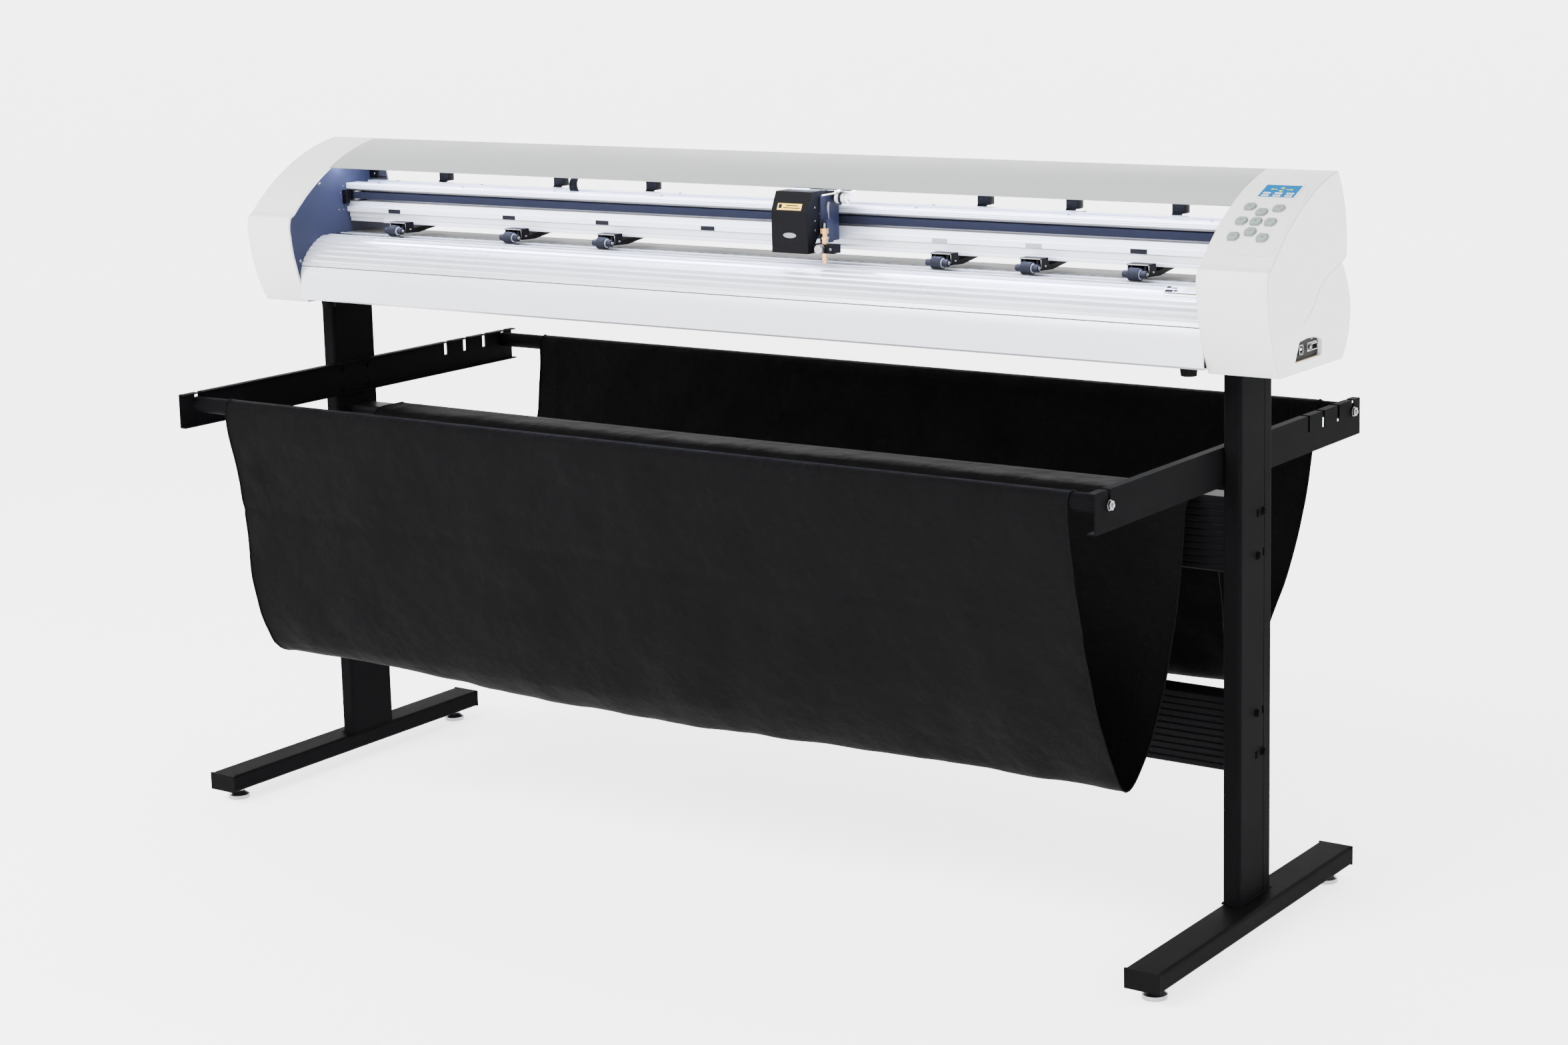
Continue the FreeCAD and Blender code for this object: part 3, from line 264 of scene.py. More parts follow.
def piece(name, vertices, faces, material, body="root", slot=None, smooth=True, angle=35):
    """Mesh piece, given in millimetres, that rides on a body."""
    mesh = bpy.data.meshes.new(name)
    mesh.from_pydata([tuple(Vector(v) * MM) for v in vertices], [], faces)
    mesh.update()
    if smooth:
        shade_smooth(mesh, angle)
    mesh.materials.append(material)
    obj = bpy.data.objects.new(name, mesh)
    bpy.context.scene.collection.objects.link(obj)
    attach(obj, body)
    return obj


def ring_faces(rings, segments):
    """Quads between rings of vertices."""
    return [[ring * segments + step, ring * segments + (step + 1) % segments,
             (ring + 1) * segments + (step + 1) % segments, (ring + 1) * segments + step]
            for ring in range(rings - 1) for step in range(segments)]


def end_faces(rings, segments):
    """Caps of the first and the last ring."""
    last = (rings - 1) * segments
    return [list(range(segments))[::-1], list(range(last, last + segments))]


def circle_points(centre, axis, side, radius, segments):
    """Vertices of one ring round an axis, the first one towards side."""
    other = axis.cross(side)
    angles = [2 * math.pi * step / segments for step in range(segments)]
    return [centre + (side * math.cos(a) + other * math.sin(a)) * radius for a in angles]


def slab(centre, size, turn=None, round_off=0.0):
    """Slab of a size across, along and up, turned by a matrix; its corners seen from above may be rounded."""
    wide, deep, high = (s / 2 for s in size)
    outline = []
    if round_off:
        steps = 3
        for corner_x, corner_y, first in ((1, 1, 0), (-1, 1, 90), (-1, -1, 180), (1, -1, 270)):
            for step in range(steps + 1):
                angle = math.radians(first + 90 * step / steps)
                x = corner_x * (wide - round_off) + round_off * math.cos(angle)
                y = corner_y * (deep - round_off) + round_off * math.sin(angle)
                outline.append((x, y))
    else:
        outline = [(wide, deep), (-wide, deep), (-wide, -deep), (wide, -deep)]
    turn = turn or Matrix.Identity(3)
    centre = Vector(centre)
    count = len(outline)
    vertices = [centre + turn @ Vector((x, y, z)) for z in (-high, high) for x, y in outline]
    return vertices, ring_faces(2, count) + end_faces(2, count)


def lathe(start, axis, profile, segments=32):
    """Turned shape: the profile is pairs of a distance along the axis and a radius."""
    axis = Vector(axis).normalized()
    side = axis.orthogonal().normalized()
    vertices = []
    for along, radius in profile:
        vertices += circle_points(Vector(start) + axis * along, axis, side, radius, segments)
    return vertices, ring_faces(len(profile), segments) + end_faces(len(profile), segments)


def merged(parts):
    """Several (vertices, faces) meshes as one."""
    vertices, faces = [], []
    for more_vertices, more_faces in parts:
        start = len(vertices)
        vertices += more_vertices
        faces += [[start + i for i in face] for face in more_faces]
    return vertices, faces


def tube(points, radius, segments=8):
    """Round bar along a list of points."""
    points = [Vector(p) for p in points]
    vertices, side = [], None
    for number, point in enumerate(points):
        before, after = points[max(0, number - 1)], points[min(len(points) - 1, number + 1)]
        along = (after - before).normalized()
        side = along.orthogonal() if side is None else side - along * side.dot(along)
        side.normalize()
        vertices += circle_points(point, along, side, radius, segments)
    return vertices, ring_faces(len(points), segments) + end_faces(len(points), segments)


def smooth_path(points, steps=8):
    """Catmull-Rom curve through given points."""
    points = [Vector(p) for p in points]
    padded = [points[0] * 2 - points[1]] + points + [points[-1] * 2 - points[-2]]
    path = []
    for i in range(1, len(padded) - 2):
        a, b, c, d = padded[i - 1:i + 3]
        for step in range(steps):
            t = step / steps
            square, cube = 2 * a - 5 * b + 4 * c - d, 3 * b - a - 3 * c + d
            path.append(0.5 * (2 * b + (c - a) * t + square * t ** 2 + cube * t ** 3))
    path.append(points[-1])
    return path


def screw(centre, axis, radius):
    """Pan-head screw: the mesh of its head and the two bars of its cross recess."""
    height = 1.2
    head = lathe(centre, axis, [
        (0, radius), (height * 0.45, radius), (height * 0.85, radius * 0.8), (height, radius * 0.45)], 20)
    axis = Vector(axis).normalized()
    turn = axis.to_track_quat("Z", "Y").to_matrix()
    top = Vector(centre) + axis * (height * 0.95)
    length, width, thick = radius * 1.1, radius * 0.26, height * 0.3
    return head, [slab(top, (length, width, thick), turn), slab(top, (width, length, thick), turn)]


def screws(name, places, axis, radius, body="root", slot=None):
    """A set of screws that share one axis, with their cross recesses painted near black as shade."""
    heads, recesses = [], []
    for place in places:
        head, bars = screw(place, axis, radius)
        heads.append(head)
        recesses += bars
    piece(name, *merged(heads), PAINT["screw"], body, slot)
    # the cross recesses as near-black bars of painted shade
    piece(name + "_recess_shade", *merged(recesses), PAINT["painted_hole_shade"], body)


# ---- console arc, as in the end caps -------------------------------------------------------------

CONSOLE_ALONG, CONSOLE_UP, CONSOLE_RADIUS = 118.4, 725.9, 382.3
CONSOLE_MIDDLE, BUTTON_PITCH, SCREEN_ACROSS, SCREEN_TURN = 896.5, 21.6, 901, 112.5
BUTTONS = ((-1, 119), (0, 120.7), (1, 119.2), (-1, 123.8), (0, 123.8), (1, 123.8), (0, 127), (-1, 128.5),
           (1, 128.5))  # column, and angle on the arc
PRINT_THICK = 0.12


def on_console(across, turn, lift):
    """Point over the console's arc, and the rotation with Y up the slope and Z out of it."""
    angle = math.radians(turn)
    radius = CONSOLE_RADIUS + lift
    point = Vector((across, CONSOLE_ALONG + radius * math.cos(angle), CONSOLE_UP + radius * math.sin(angle)))
    return point, Matrix.Rotation(math.radians(turn - 90), 3, "X")


def make_film_edge():
    """Fine line where the printed film round the keys and the screen ends."""
    path = [(930.5, 108.7), (941, 112), (945.2, 116), (945.7, 124), (944, 131), (940, 133.2), (910, 133.4),
            (876, 133.4)]
    points = [on_console(across, turn, 0.05)[0] for across, turn in path]
    piece("film_edge", *tube(smooth_path(points, 10), 0.22), PAINT["overlay_line"])


def make_console():
    """The film's edge, the screen, and the tops and generic signs of the keys."""
    make_screen()
    make_film_edge()
    key_height = 2.4 + 0.15
    for number, (column, turn) in enumerate(BUTTONS, start=1):
        body = "button_%d" % number
        point, lay = on_console(CONSOLE_MIDDLE + column * BUTTON_PITCH, turn, key_height)
        piece("key_top_%d" % number, *key_dome(point, lay), MATERIALS["button_grey"], body, "button_grey")
        make_key_mark(number, point + lay @ Vector((0, 0, 0.6)), lay, body)


def key_dome(centre, lay):
    """Softly domed eight-sided top of a key."""
    wide, high = 16.4 / 2, 14.6 / 2
    flat, side = wide * 0.62, high * 0.3
    corners = [(-flat, -high), (flat, -high), (wide, -side), (wide, side), (flat, high), (-flat, high),
               (-wide, side), (-wide, -side)]
    vertices, count = [], len(corners)
    for share, rise in ((0.97, -0.2), (0.94, 0.12), (0.84, 0.42), (0.6, 0.55), (0.3, 0.6)):
        vertices += [centre + lay @ Vector((x * share, y * share, rise)) for x, y in corners]
    rings = len(vertices) // count
    return vertices, ring_faces(rings, count) + end_faces(rings, count)


def make_key_mark(number, centre, lay, body):
    """A small generic sign on a key: an arrow, a bar or a ring."""
    size = 2.0
    name = "key_mark_%d" % number
    arrow_turns = {2: 90, 4: 180, 6: 0, 7: -90}
    if number in arrow_turns:
        spin = lay @ Matrix.Rotation(math.radians(arrow_turns[number]), 3, "Z")
        up = lay @ Vector((0, 0, PRINT_THICK))
        corners = [centre + spin @ Vector(p)
                   for p in ((size, 0, 0), (-size * 0.7, size, 0), (-size * 0.7, -size, 0))]
        vertices = corners + [corner + up for corner in corners]
        faces = [[0, 2, 1], [3, 4, 5], [0, 1, 4, 3], [1, 2, 5, 4], [2, 0, 3, 5]]
        piece(name, vertices, faces, PAINT["key_mark"], body, smooth=False)
    elif number == 5:
        ring = lathe(centre, lay @ Vector((0, 0, 1)), [(0, size), (PRINT_THICK, size)], 20)
        piece(name, *ring, PAINT["key_mark"], body)
    else:
        bars = merged([slab(centre + lay @ Vector((0, shift, 0)), (6, 0.8, PRINT_THICK), lay)
                       for shift in (-0.6, 0.6)])
        piece(name, *bars, PAINT["key_mark"], body, smooth=False)


def make_screen():
    """Bezel of the display, and generic arrows, blocks and dots on it."""
    point, lay = on_console(SCREEN_ACROSS, SCREEN_TURN, 0.1)
    wide, high, rim, mark_thick = 54, 36, 2.2, 0.15

    def on_screen(across, up, lift):
        return point + lay @ Vector((across, up, lift))

    bars = []
    for across, up, bar_wide, bar_high in (
            (0, (high + rim) / 2, wide + 2 * rim, rim), (0, -(high + rim) / 2, wide + 2 * rim, rim),
            ((wide + rim) / 2, 0, rim, high), (-(wide + rim) / 2, 0, rim, high)):
        bars.append(slab(on_screen(across, up, 0), (bar_wide, bar_high, 0.9), lay))
    piece("screen_bezel", *merged(bars), PAINT["overlay"], smooth=False)
    diamond = lay @ Matrix.Rotation(math.pi / 4, 3, "Z")
    arrows = []
    for across, up, tip_across, tip_up, bar_wide, bar_high in (
            (-10.5, 5, -13.9, 5, 9, 1.4), (11.5, 5, 14.9, 5, 9, 1.4),
            (0.5, 8.4, 0.5, 9.6, 6.5, 1.6), (0.5, 1.4, 0.5, 0.2, 6.5, 1.6)):
        arrows.append(slab(on_screen(across, up, 0.15), (bar_wide, bar_high, mark_thick), lay))
        arrows.append(slab(on_screen(tip_across, tip_up, 0.16), (3, 3, mark_thick), diamond))
    piece("screen_arrows", *merged(arrows), PAINT["lcd_yellow"], smooth=False)
    places = [(across, up) for up in (-6, -13) for across in (-17.5, 0, 17.5)]
    signs = [slab(on_screen(across, up, 0.15), (11, 4.2, mark_thick), lay, 0.8) for across, up in places]
    piece("screen_signs", *merged(signs), PAINT["lcd_pale"], smooth=False)
    dots = [slab(on_screen(across + shift, up, 0.26), (2.2, 1.4, PRINT_THICK), lay)
            for across, up in places for shift in (-2.4, 1.6)]
    piece("screen_dots", *merged(dots), PAINT["lcd_dark"], smooth=False)


# ---- head ----------------------------------------------------------------------------------------

BAY_LEFT, BAY_RIGHT = -853, 845
ROLLER_PLACES = (-717, -462, -267, 365, 518, 693)
AXLE_ALONG, AXLE_UP, SHAFT_UP = -59, 957, 937.5  # pinch rollers' axles, over the feed shaft


def make_beam_details():
    """Marks on the beam's lip beside the rollers, grey lines painted as the shade of the grooves in its face,
    and the screws in its top.
    """
    marks = ((-744, "mark"), (-489, "mark"), (-292, "mark"), (-80, "mark"), (349, "hub_grey"),
             (510, "hub_grey"), (682, "mark"))
    for number, (across, paint) in enumerate(marks):
        label = slab((across, -28.15, 985.5), (27, 0.3, 7))
        piece("lip_mark_%d" % number, *label, PAINT[paint], smooth=False)
    # grey lines painted as the shade inside the grooves of the beam's face
    lines = [slab((-4, -28.1, up), (1697, 0.4, 0.8)) for up in (1027.2, 1024.4)]
    piece("beam_groove_shade", *merged(lines), PAINT["hub_grey"], smooth=False)
    places = [(x, y, 1031) for x in (-790, -600, -400, -180, 60, 300, 560, 790) for y in (-14, 35)]
    screws("beam_screws", places, (0, 0, 1), 2.6)


def make_platen_details():
    """Grit bands of the feed shaft, marks beside the rollers, the pan's slots as dark strips of painted
    shade, the label and the screws.
    """
    grit = [(ring * 0.9, 10.15 if ring % 2 else 10.0) for ring in range(27)]
    bands = [lathe((across - 11.7, AXLE_ALONG, SHAFT_UP), (1, 0, 0), grit, 40) for across in ROLLER_PLACES]
    piece("grit_bands", *merged(bands), PAINT["hub_grey"], "feed_shaft", "bright_steel", angle=60)
    marks = [slab((across + side * 13, -73.7, 947.56), (0.8, 7, PRINT_THICK))
             for across in ROLLER_PLACES for side in (-1, 1)]
    piece("platen_marks", *merged(marks), PAINT["mark"], smooth=False)
    first, pitch, count = BAY_LEFT + 30, 23.4, 71
    # the pan's slots as near-black strips of painted shade
    holes = [slab((first + pitch * n, -24, 946.55), (9, 2.2, PRINT_THICK), None, 1) for n in range(count)]
    piece("pan_slot_shade", *merged(holes), PAINT["painted_hole_shade"], smooth=False)
    make_platen_label()
    ends = [(across, -92.5, 947.5) for across in (BAY_LEFT + 5, BAY_RIGHT - 5)]
    screws("platen_screws", ends, (0, 0, 1), 1.8)


def make_platen_label():
    """Generic notice on the platen's nose near the console: a pale sticker with blocks for its pictures."""
    lean = Matrix.Rotation(math.radians(24), 3, "X")
    centre = Vector((798, -102.6, 945.6))
    piece("platen_label", *slab(centre, (72, 17, 0.2), lean, 1.5), PAINT["label_white"], smooth=False)
    parts = {"mark": [(-31, 5, 7, 5), (-22, 3.4, 9, 2.6), (-27, -4.4, 12, 6), (-17, -3.6, 6, 4)],
             "label_yellow": [(13, 5.8, 36, 2.8)],
             "label_pale": [(12, 2.2, 36, 1.1), (8, -0.8, 28, 1), (10, -3.6, 32, 1)]}
    for paint, rows in parts.items():
        blocks = [slab(centre + lean @ Vector((x, y, 0.15)), (wide, high, PRINT_THICK), lean)
                  for x, y, wide, high in rows]
        piece("platen_label_" + paint, *merged(blocks), PAINT[paint], smooth=False)


def make_roller_details():
    """Hubs, ribs, bearing caps, pins, silver strips painted as highlights on the arms' lit sheet edges, and
    lever grips of the pinch rollers.
    """
    rib = [(0, 9.22), (0.4, 9.36), (0.8, 9.22)]
    cap = []
    for groove in range(4):
        at = groove * 2.3
        cap += [(at, 5.5), (at + 1.6, 5.5), (at + 1.7, 5.1), (at + 2.2, 5.1)]
    for number, middle in enumerate(ROLLER_PLACES, start=1):
        roller, body = "pinch_roller_%d" % number, "pinch_arm_%d" % number

        def both_ends(out, along, up, profile, segments):
            """The same turned shape at either end of the roller."""
            return [lathe((middle + side * out, along, up), (side, 0, 0), profile, segments)
                    for side in (-1, 1)]

        hubs = both_ends(8.45, AXLE_ALONG, AXLE_UP, [(0, 7.4), (0.3, 7.2), (0.35, 5.4)], 28)
        piece("roller_hub_%d" % number, *merged(hubs), PAINT["hub_pale"], roller, "roller_rubber")
        rings = [lathe((middle + x, AXLE_ALONG, AXLE_UP), (1, 0, 0), rib, 40)
                 for x in (-7.6, -5, -2.4, 0.2, 2.8, 5.4, 7)]
        piece("roller_rings_%d" % number, *merged(rings), MATERIALS["roller_rubber"], roller, "roller_rubber")
        bearings = both_ends(9.6, AXLE_ALONG, AXLE_UP, cap, 28)
        piece("bearing_caps_%d" % number, *merged(bearings), PAINT["bearing_navy"], body, "arm_black")
        pins = both_ends(19, AXLE_ALONG, AXLE_UP, [(0, 3.2), (0.7, 2.9), (1.2, 1.6)], 20)
        pins += both_ends(18, -39, 958, [(0, 2.1), (0.6, 1.8), (0.8, 1)], 18)
        pins += both_ends(18, 50, 975, [(0, 5), (1.4, 4.6), (1.8, 3)], 20)
        piece("arm_pins_%d" % number, *merged(pins), PAINT["screw"], body, "bright_steel")
        # silver strips painted as highlights where light catches the bracket's sheet edges
        edge = [slab((middle, -50.1, 969.5), (32, 0.4, 1.6))]
        edge += [slab((middle + x, -50.1, 962), (1.4, 0.4, 13.5)) for x in (-17, 17)]
        piece("arm_edge_%d" % number, *merged(edge), PAINT["silver"], body, smooth=False)
        grip = lever_grip(Vector((middle + 3, 75, 1037.8)))
        piece("lever_grip_%d" % number, *grip, PAINT["grip"], body, "arm_black", angle=50)


def lever_grip(centre):
    """Moulded grip over a lever's tab: a block with bevelled sides and a ribbed front."""
    wide, deep, high, bevel = 11, 8.5, 7.4, 2
    corners = [(-wide + bevel, -deep), (wide - bevel, -deep), (wide, -deep + bevel), (wide, deep - bevel),
               (wide - bevel, deep), (-wide + bevel, deep), (-wide, deep - bevel), (-wide, -deep + bevel)]
    vertices, count = [], len(corners)
    for up, share in ((-high, 0.88), (-high + 1, 1), (high - 1, 1), (high, 0.9)):
        vertices += [centre + Vector((x * share, y * share, up)) for x, y in corners]
    ribs = [slab(centre + Vector((0, -deep - 0.1, up)), (17, 0.5, 0.7)) for up in (-3.6, -1.2, 1.2, 3.6)]
    return merged([(vertices, ring_faces(4, count) + end_faces(4, count))] + ribs)


def make_side_details():
    """Brackets, belt stop and screws on the inner faces of the side plates."""
    for name, face, side in (("left", BAY_LEFT, 1), ("right", BAY_RIGHT, -1)):
        bracket = merged([slab((face + side * 9.5, 32, 1042), (19, 2, 12)),
                          slab((face + side, 42, 1042), (2, 22, 12)),
                          slab((face + side * 9.5, 42, 1035.2), (19, 22, 1.6))])
        piece(name + "_bracket", *bracket, MATERIALS["arm_black"], slot="arm_black", smooth=False)
        screws(name + "_bracket_screw", [(face + side * 11, 31, 1042.5)], (0, -1, 0), 2)
        places = [(face, y, z) for y, z in ((-93.5, 1034.5), (-148, 908.4), (-10, 1068))]
        screws(name + "_plate_screws", places, (side, 0, 0), 2.8)
    stop = slab((BAY_LEFT + 5, -35, 1008), (10, 9, 23), None, 1.2)
    piece("left_stop", *stop, MATERIALS["arm_black"], slot="arm_black")
    places = [(BAY_LEFT, y, z) for y, z in ((-37, 1026), (-42, 1014.5), (-49, 986.5), (-37, 985.3))]
    screws("left_plate_pins", places, (1, 0, 0), 1.5)


def make_cap_details():
    """Fine parting lines round the outer walls of the end caps, where their front and rear halves meet: grey
    tubes painted as the shade in the gap.
    """
    seam = ((64, 973), (5, 953), (-27, 922), (-59, 901))
    for name, across in (("right_cap_seam", 951.05), ("left_cap_seam", -951.05)):
        arc = smooth_path([(across, along, up) for along, up in seam], 10)
        # the seam as a grey tube of painted shade
        piece(name, *tube(arc, 0.3), PAINT["seam_shade_grey"])


def make_connector_details():
    """Dark panel, shells, contacts and hexagonal posts in the console end's recess."""
    recess = ((-85, 852), (-4, 852), (0, 854), (2, 870), (-2, 875), (-22, 880), (-48, 881), (-71, 879))
    middle_along, middle_up, share = -41, 865, 0.975
    vertices = [(across, middle_along + (y - middle_along) * share, middle_up + (z - middle_up) * share)
                for across in (945.02, 945.3) for y, z in recess]
    faces = end_faces(2, len(recess)) + ring_faces(2, len(recess))
    piece("socket_panel", vertices, faces, PAINT["dark_panel"], smooth=False)
    piece("socket_lip", *slab((948, -44, 852.5), (5.4, 78, 0.6)), PAINT["gold"], smooth=False)
    along, up = -20, 866.6  # middle of the serial socket
    flange = slab((945.9, along, up), (0.5, 31, 12.4))
    piece("serial_flange", *flange, PAINT["silver"], slot="bright_steel", smooth=False)
    posts = [lathe((946.1, along + shift, 866.5), (1, 0, 0), [(0, 2.4), (3.4, 2.4), (3.4, 1.2)], 6)
             for shift in (-12.5, 12.5)]
    piece("serial_posts", *merged(posts), PAINT["silver"], slot="bright_steel", smooth=False)
    piece("serial_shell", *slab((947.9, along, up), (3.6, 17.8, 9.2)), PAINT["silver"], smooth=False)
    # the serial socket's mouth as a near-black sheet of painted shade
    piece("serial_mouth_shade", *slab((949.8, along, up), (0.3, 15.4, 6.8)), PAINT["painted_hole_shade"], smooth=False)
    piece("usb_tongue", *slab((946, -62, 867.5), (5.4, 5.4, 3.2)), PAINT["white_part"], smooth=False)
    rim = merged([slab((949.2, -62, z), (0.5, 12, 1)) for z in (860.6, 873.4)]
                 + [slab((949.2, y, 867), (0.5, 1, 14)) for y in (-67.5, -56.5)])
    piece("usb_rim", *rim, PAINT["silver"], smooth=False)
    marks = [slab((945.4, y, 877), (0.15, 7, 1.1)) for y in (-62, -20)]
    piece("socket_marks", *merged(marks), PAINT["label_pale"], smooth=False)


# ---- carriage ------------------------------------------------------------------------------------

HOLDER_ACROSS, HOLDER_ALONG = 186, -92


def make_labels():
    """Yellow label and grey badge on the carriage's cover, with marks in place of lettering."""
    lean = Matrix.Rotation(-math.atan2(13.5, 29), 3, "X")
    middle = Vector((135, -109.1, 1035.8))
    label = slab(middle, (44, 0.25, 10.5), lean)
    piece("caution_label", *label, PAINT["label_yellow"], "carriage", smooth=False)
    marks = [slab(middle + lean @ Vector((x, -0.2, z)), (wide, PRINT_THICK, high), lean)
             for x, z, wide, high in ((-17, 0.6, 5.4, 6.4), (4, 2, 22, 1.5), (4, -1.7, 30, 1.3))]
    piece("caution_marks", *merged(marks), PAINT["mark"], "carriage", smooth=False)
    centre = Vector((136, -112, 993))
    disc, faces = lathe((0, 0, 0), (0, -1, 0), [(0, 5.6), (0.1, 5.6)], 40)
    oval = [centre + Vector((v.x * 2.1, v.y, v.z * 0.72)) for v in disc]
    piece("badge", oval, faces, PAINT["badge_grey"], "carriage")


def make_carriage_top():
    """The flexible board on its shelf, its lamp, and the flat link to the ribbon cable's end."""
    flex = [slab((152, -52, 1058.5), (30, 14, 1), None, 2),
            slab((176, -50, 1058.2), (17, 11, 1), None, 1.5),
            slab((201, -50, 1058.3), (20, 11, 1.2), None, 1.5)]
    piece("carriage_flex", *merged(flex), PAINT["flex_black"], "carriage", "ribbon_black")
    shelf = [slab((159, -49, 1057.2), (106, 17, 0.8), None, 2), slab((186, -42, 1051), (8, 3, 12.6))]
    piece("carriage_shelf", *merged(shelf), PAINT["white_part"], "carriage", smooth=False)
    link = smooth_path([(115, 12, 1056.9), (126, 2, 1057.2), (136, -16, 1058), (142, -40, 1058.3)])
    strips = [tube([point + Vector((1.5 * n, 0, 0)) for point in link], 0.7) for n in range(-3, 4)]
    piece("ribbon_link", *merged(strips), PAINT["flex_black"], "carriage", "ribbon_black")
    lamp = slab((157, -55, 1059.9), (5, 4, 1.2))
    piece("carriage_lamp", *lamp, PAINT["red_part"], "carriage", smooth=False)


def make_carriage_side():
    """Guide wheel, screws and wiring beside the carriage's cheek."""
    tread = [(0, 8.6), (2, 8.8), (5, 7.6), (9, 7.6), (12, 8.8), (20.3, 8.6), (20.6, 4), (24, 3.4),
             (24.4, 2.4)]
    wheel = lathe((178, -44, 1045), (1, 0, 0), tread, 36)
    piece("carriage_wheel", *wheel, PAINT["white_part"], "carriage")
    places = [(169, -92, 1034), (169, -92, 1014), (169, -92, 1000), (169, -79, 1024)]
    screws("cheek_screws", places, (1, 0, 0), 1.6, "carriage")
    wires = []
    for offset in (-1.6, 0, 1.6):
        path = [(174, -62 + offset, 1040), (177, -68 + offset, 1032), (179, -70, 1024 + offset),
                (176.5, -66, 1016 + offset)]
        wires.append(tube(smooth_path(path), 0.7))
    piece("carriage_wires", *merged(wires), PAINT["wire_grey"], "carriage")


def make_clamp_details():
    """Screws and ridged thumbscrew of the blade clamp."""
    up = 973.5
    screws("clamp_screws", [(175, -101, up), (202, -101, up)], (0, -1, 0), 2.2, "blade_clamp")
    ridges, count, radius = [], 24, 7.2
    profile = [(0, 5.5), (1, radius), (8.6, radius), (9.6, 6.4), (10, 4.6)]
    knob = lathe((HOLDER_ACROSS, -101, up), (0, -1, 0), profile, 40)
    for step in range(count):
        angle = 2 * math.pi * step / count
        centre = (HOLDER_ACROSS + radius * math.cos(angle), -106, up + radius * math.sin(angle))
        ridges.append(slab(centre, (0.7, 6.6, 0.9), Matrix.Rotation(-angle, 3, "Y")))
    piece("thumbscrew", *merged([knob] + ridges), PAINT["silver"], "blade_clamp", "bright_steel")


def make_holder_details():
    """Knurl, ejector pin and rings of the brass blade holder."""
    ridges, count, radius = [], 36, 5.8
    for step in range(count):
        angle = 2 * math.pi * step / count
        centre = (HOLDER_ACROSS + radius * math.cos(angle), HOLDER_ALONG + radius * math.sin(angle), 1000)
        ridges.append(slab(centre, (0.6, 0.5, 7.6), Matrix.Rotation(angle, 3, "Z")))
    brass = MATERIALS["holder_brass"]
    piece("knob_knurl", *merged(ridges), brass, "blade_holder", "holder_brass", smooth=False)
    profile = [(0, 1.6), (6.4, 1.6), (7.4, 1.1), (7.8, 0.5)]
    pin = lathe((HOLDER_ACROSS, HOLDER_ALONG, 1004), (0, 0, 1), profile, 20)
    piece("ejector_pin", *pin, PAINT["screw"], "blade_holder", "bright_steel")
    rings = [lathe((HOLDER_ACROSS, HOLDER_ALONG, up), (0, 0, 1), [(0, r), (0.4, r + 0.25), (0.8, r)], 32)
             for up, r in ((956, 4.5), (960, 4.5), (982, 5.25), (985, 5.25), (991.5, 4), (993.5, 4))]
    piece("holder_rings", *merged(rings), brass, "blade_holder", "holder_brass")


# ---- stand ---------------------------------------------------------------------------------------

STAND_SIDES = ((-879, -1), (825, 1))  # inner face of each column, and its way out
COLUMN_WIDE = 28
FRONT_ROD, REAR_ROD = (-380, 697), (392, 700)  # along, up


def make_bolt_details():
    """Hexagonal sockets of the bolts and the insides of the columns' slots, drawn as near-black discs and
    strips of painted shade.
    """
    sockets, slots = [], []
    socket = [(0, 2.6), (0.12, 2.6)]
    for inner, out in STAND_SIDES:
        face = inner + out * COLUMN_WIDE
        for along, up in ((22, 617), (6, 555), (4, 324), (24, 262)):
            sockets.append(lathe((face + out * 4.65, along, up), (out, 0, 0), socket, 6))
        for along, up in ((4, 617), (24, 557), (23, 325), (2, 262)):
            slots.append(slab((face - out * 2.2, along, up), (0.2, 5.8, 10.8)))
        for along, up in ((30, 704), (-32, 705), (-32, 670), (30, 671)):
            sockets.append(lathe((inner - out * 5.15, along, up), (-out, 0, 0), socket, 6))
    # the sockets and the slots' insides as near-black discs and strips of painted shade
    piece("bolt_socket_shade", *merged(sockets), PAINT["painted_hole_shade"], smooth=False)
    piece("slot_inside_shade", *merged(slots), PAINT["painted_hole_shade"], smooth=False)


def make_nuts():
    """Washer, nut and stud at each end of the basket's rods."""
    nuts = []
    for inner, out in STAND_SIDES:
        for along, up in (FRONT_ROD, REAR_ROD):
            for offset, profile, segments in (
                    (0.02, [(0, 7.4), (1.5, 7.4), (1.6, 6)], 28), (1.6, [(0, 7.2), (3.2, 7.2), (3.6, 6)], 6),
                    (4, [(0, 3.2), (3.2, 3.2), (3.6, 2.6)], 20)):
                nuts.append(lathe((inner + out * offset, along, up), (out, 0, 0), profile, segments))
    piece("rod_nuts", *merged(nuts), PAINT["screw"], slot="bright_steel", angle=25)


def make_threads():
    """Threads of the levelling feet."""
    pitch, profile = 0.55, []
    for turn in range(12):
        profile += [(turn * pitch, 5.2), ((turn + 0.5) * pitch, 4.7)]
    threads = [lathe((across, along, 13.2), (0, 0, 1), profile, 24)
               for across in (-906.5, 852.5) for along in (-309, 245)]
    piece("leveller_threads", *merged(threads), PAINT["screw"], slot="bright_steel", angle=60)


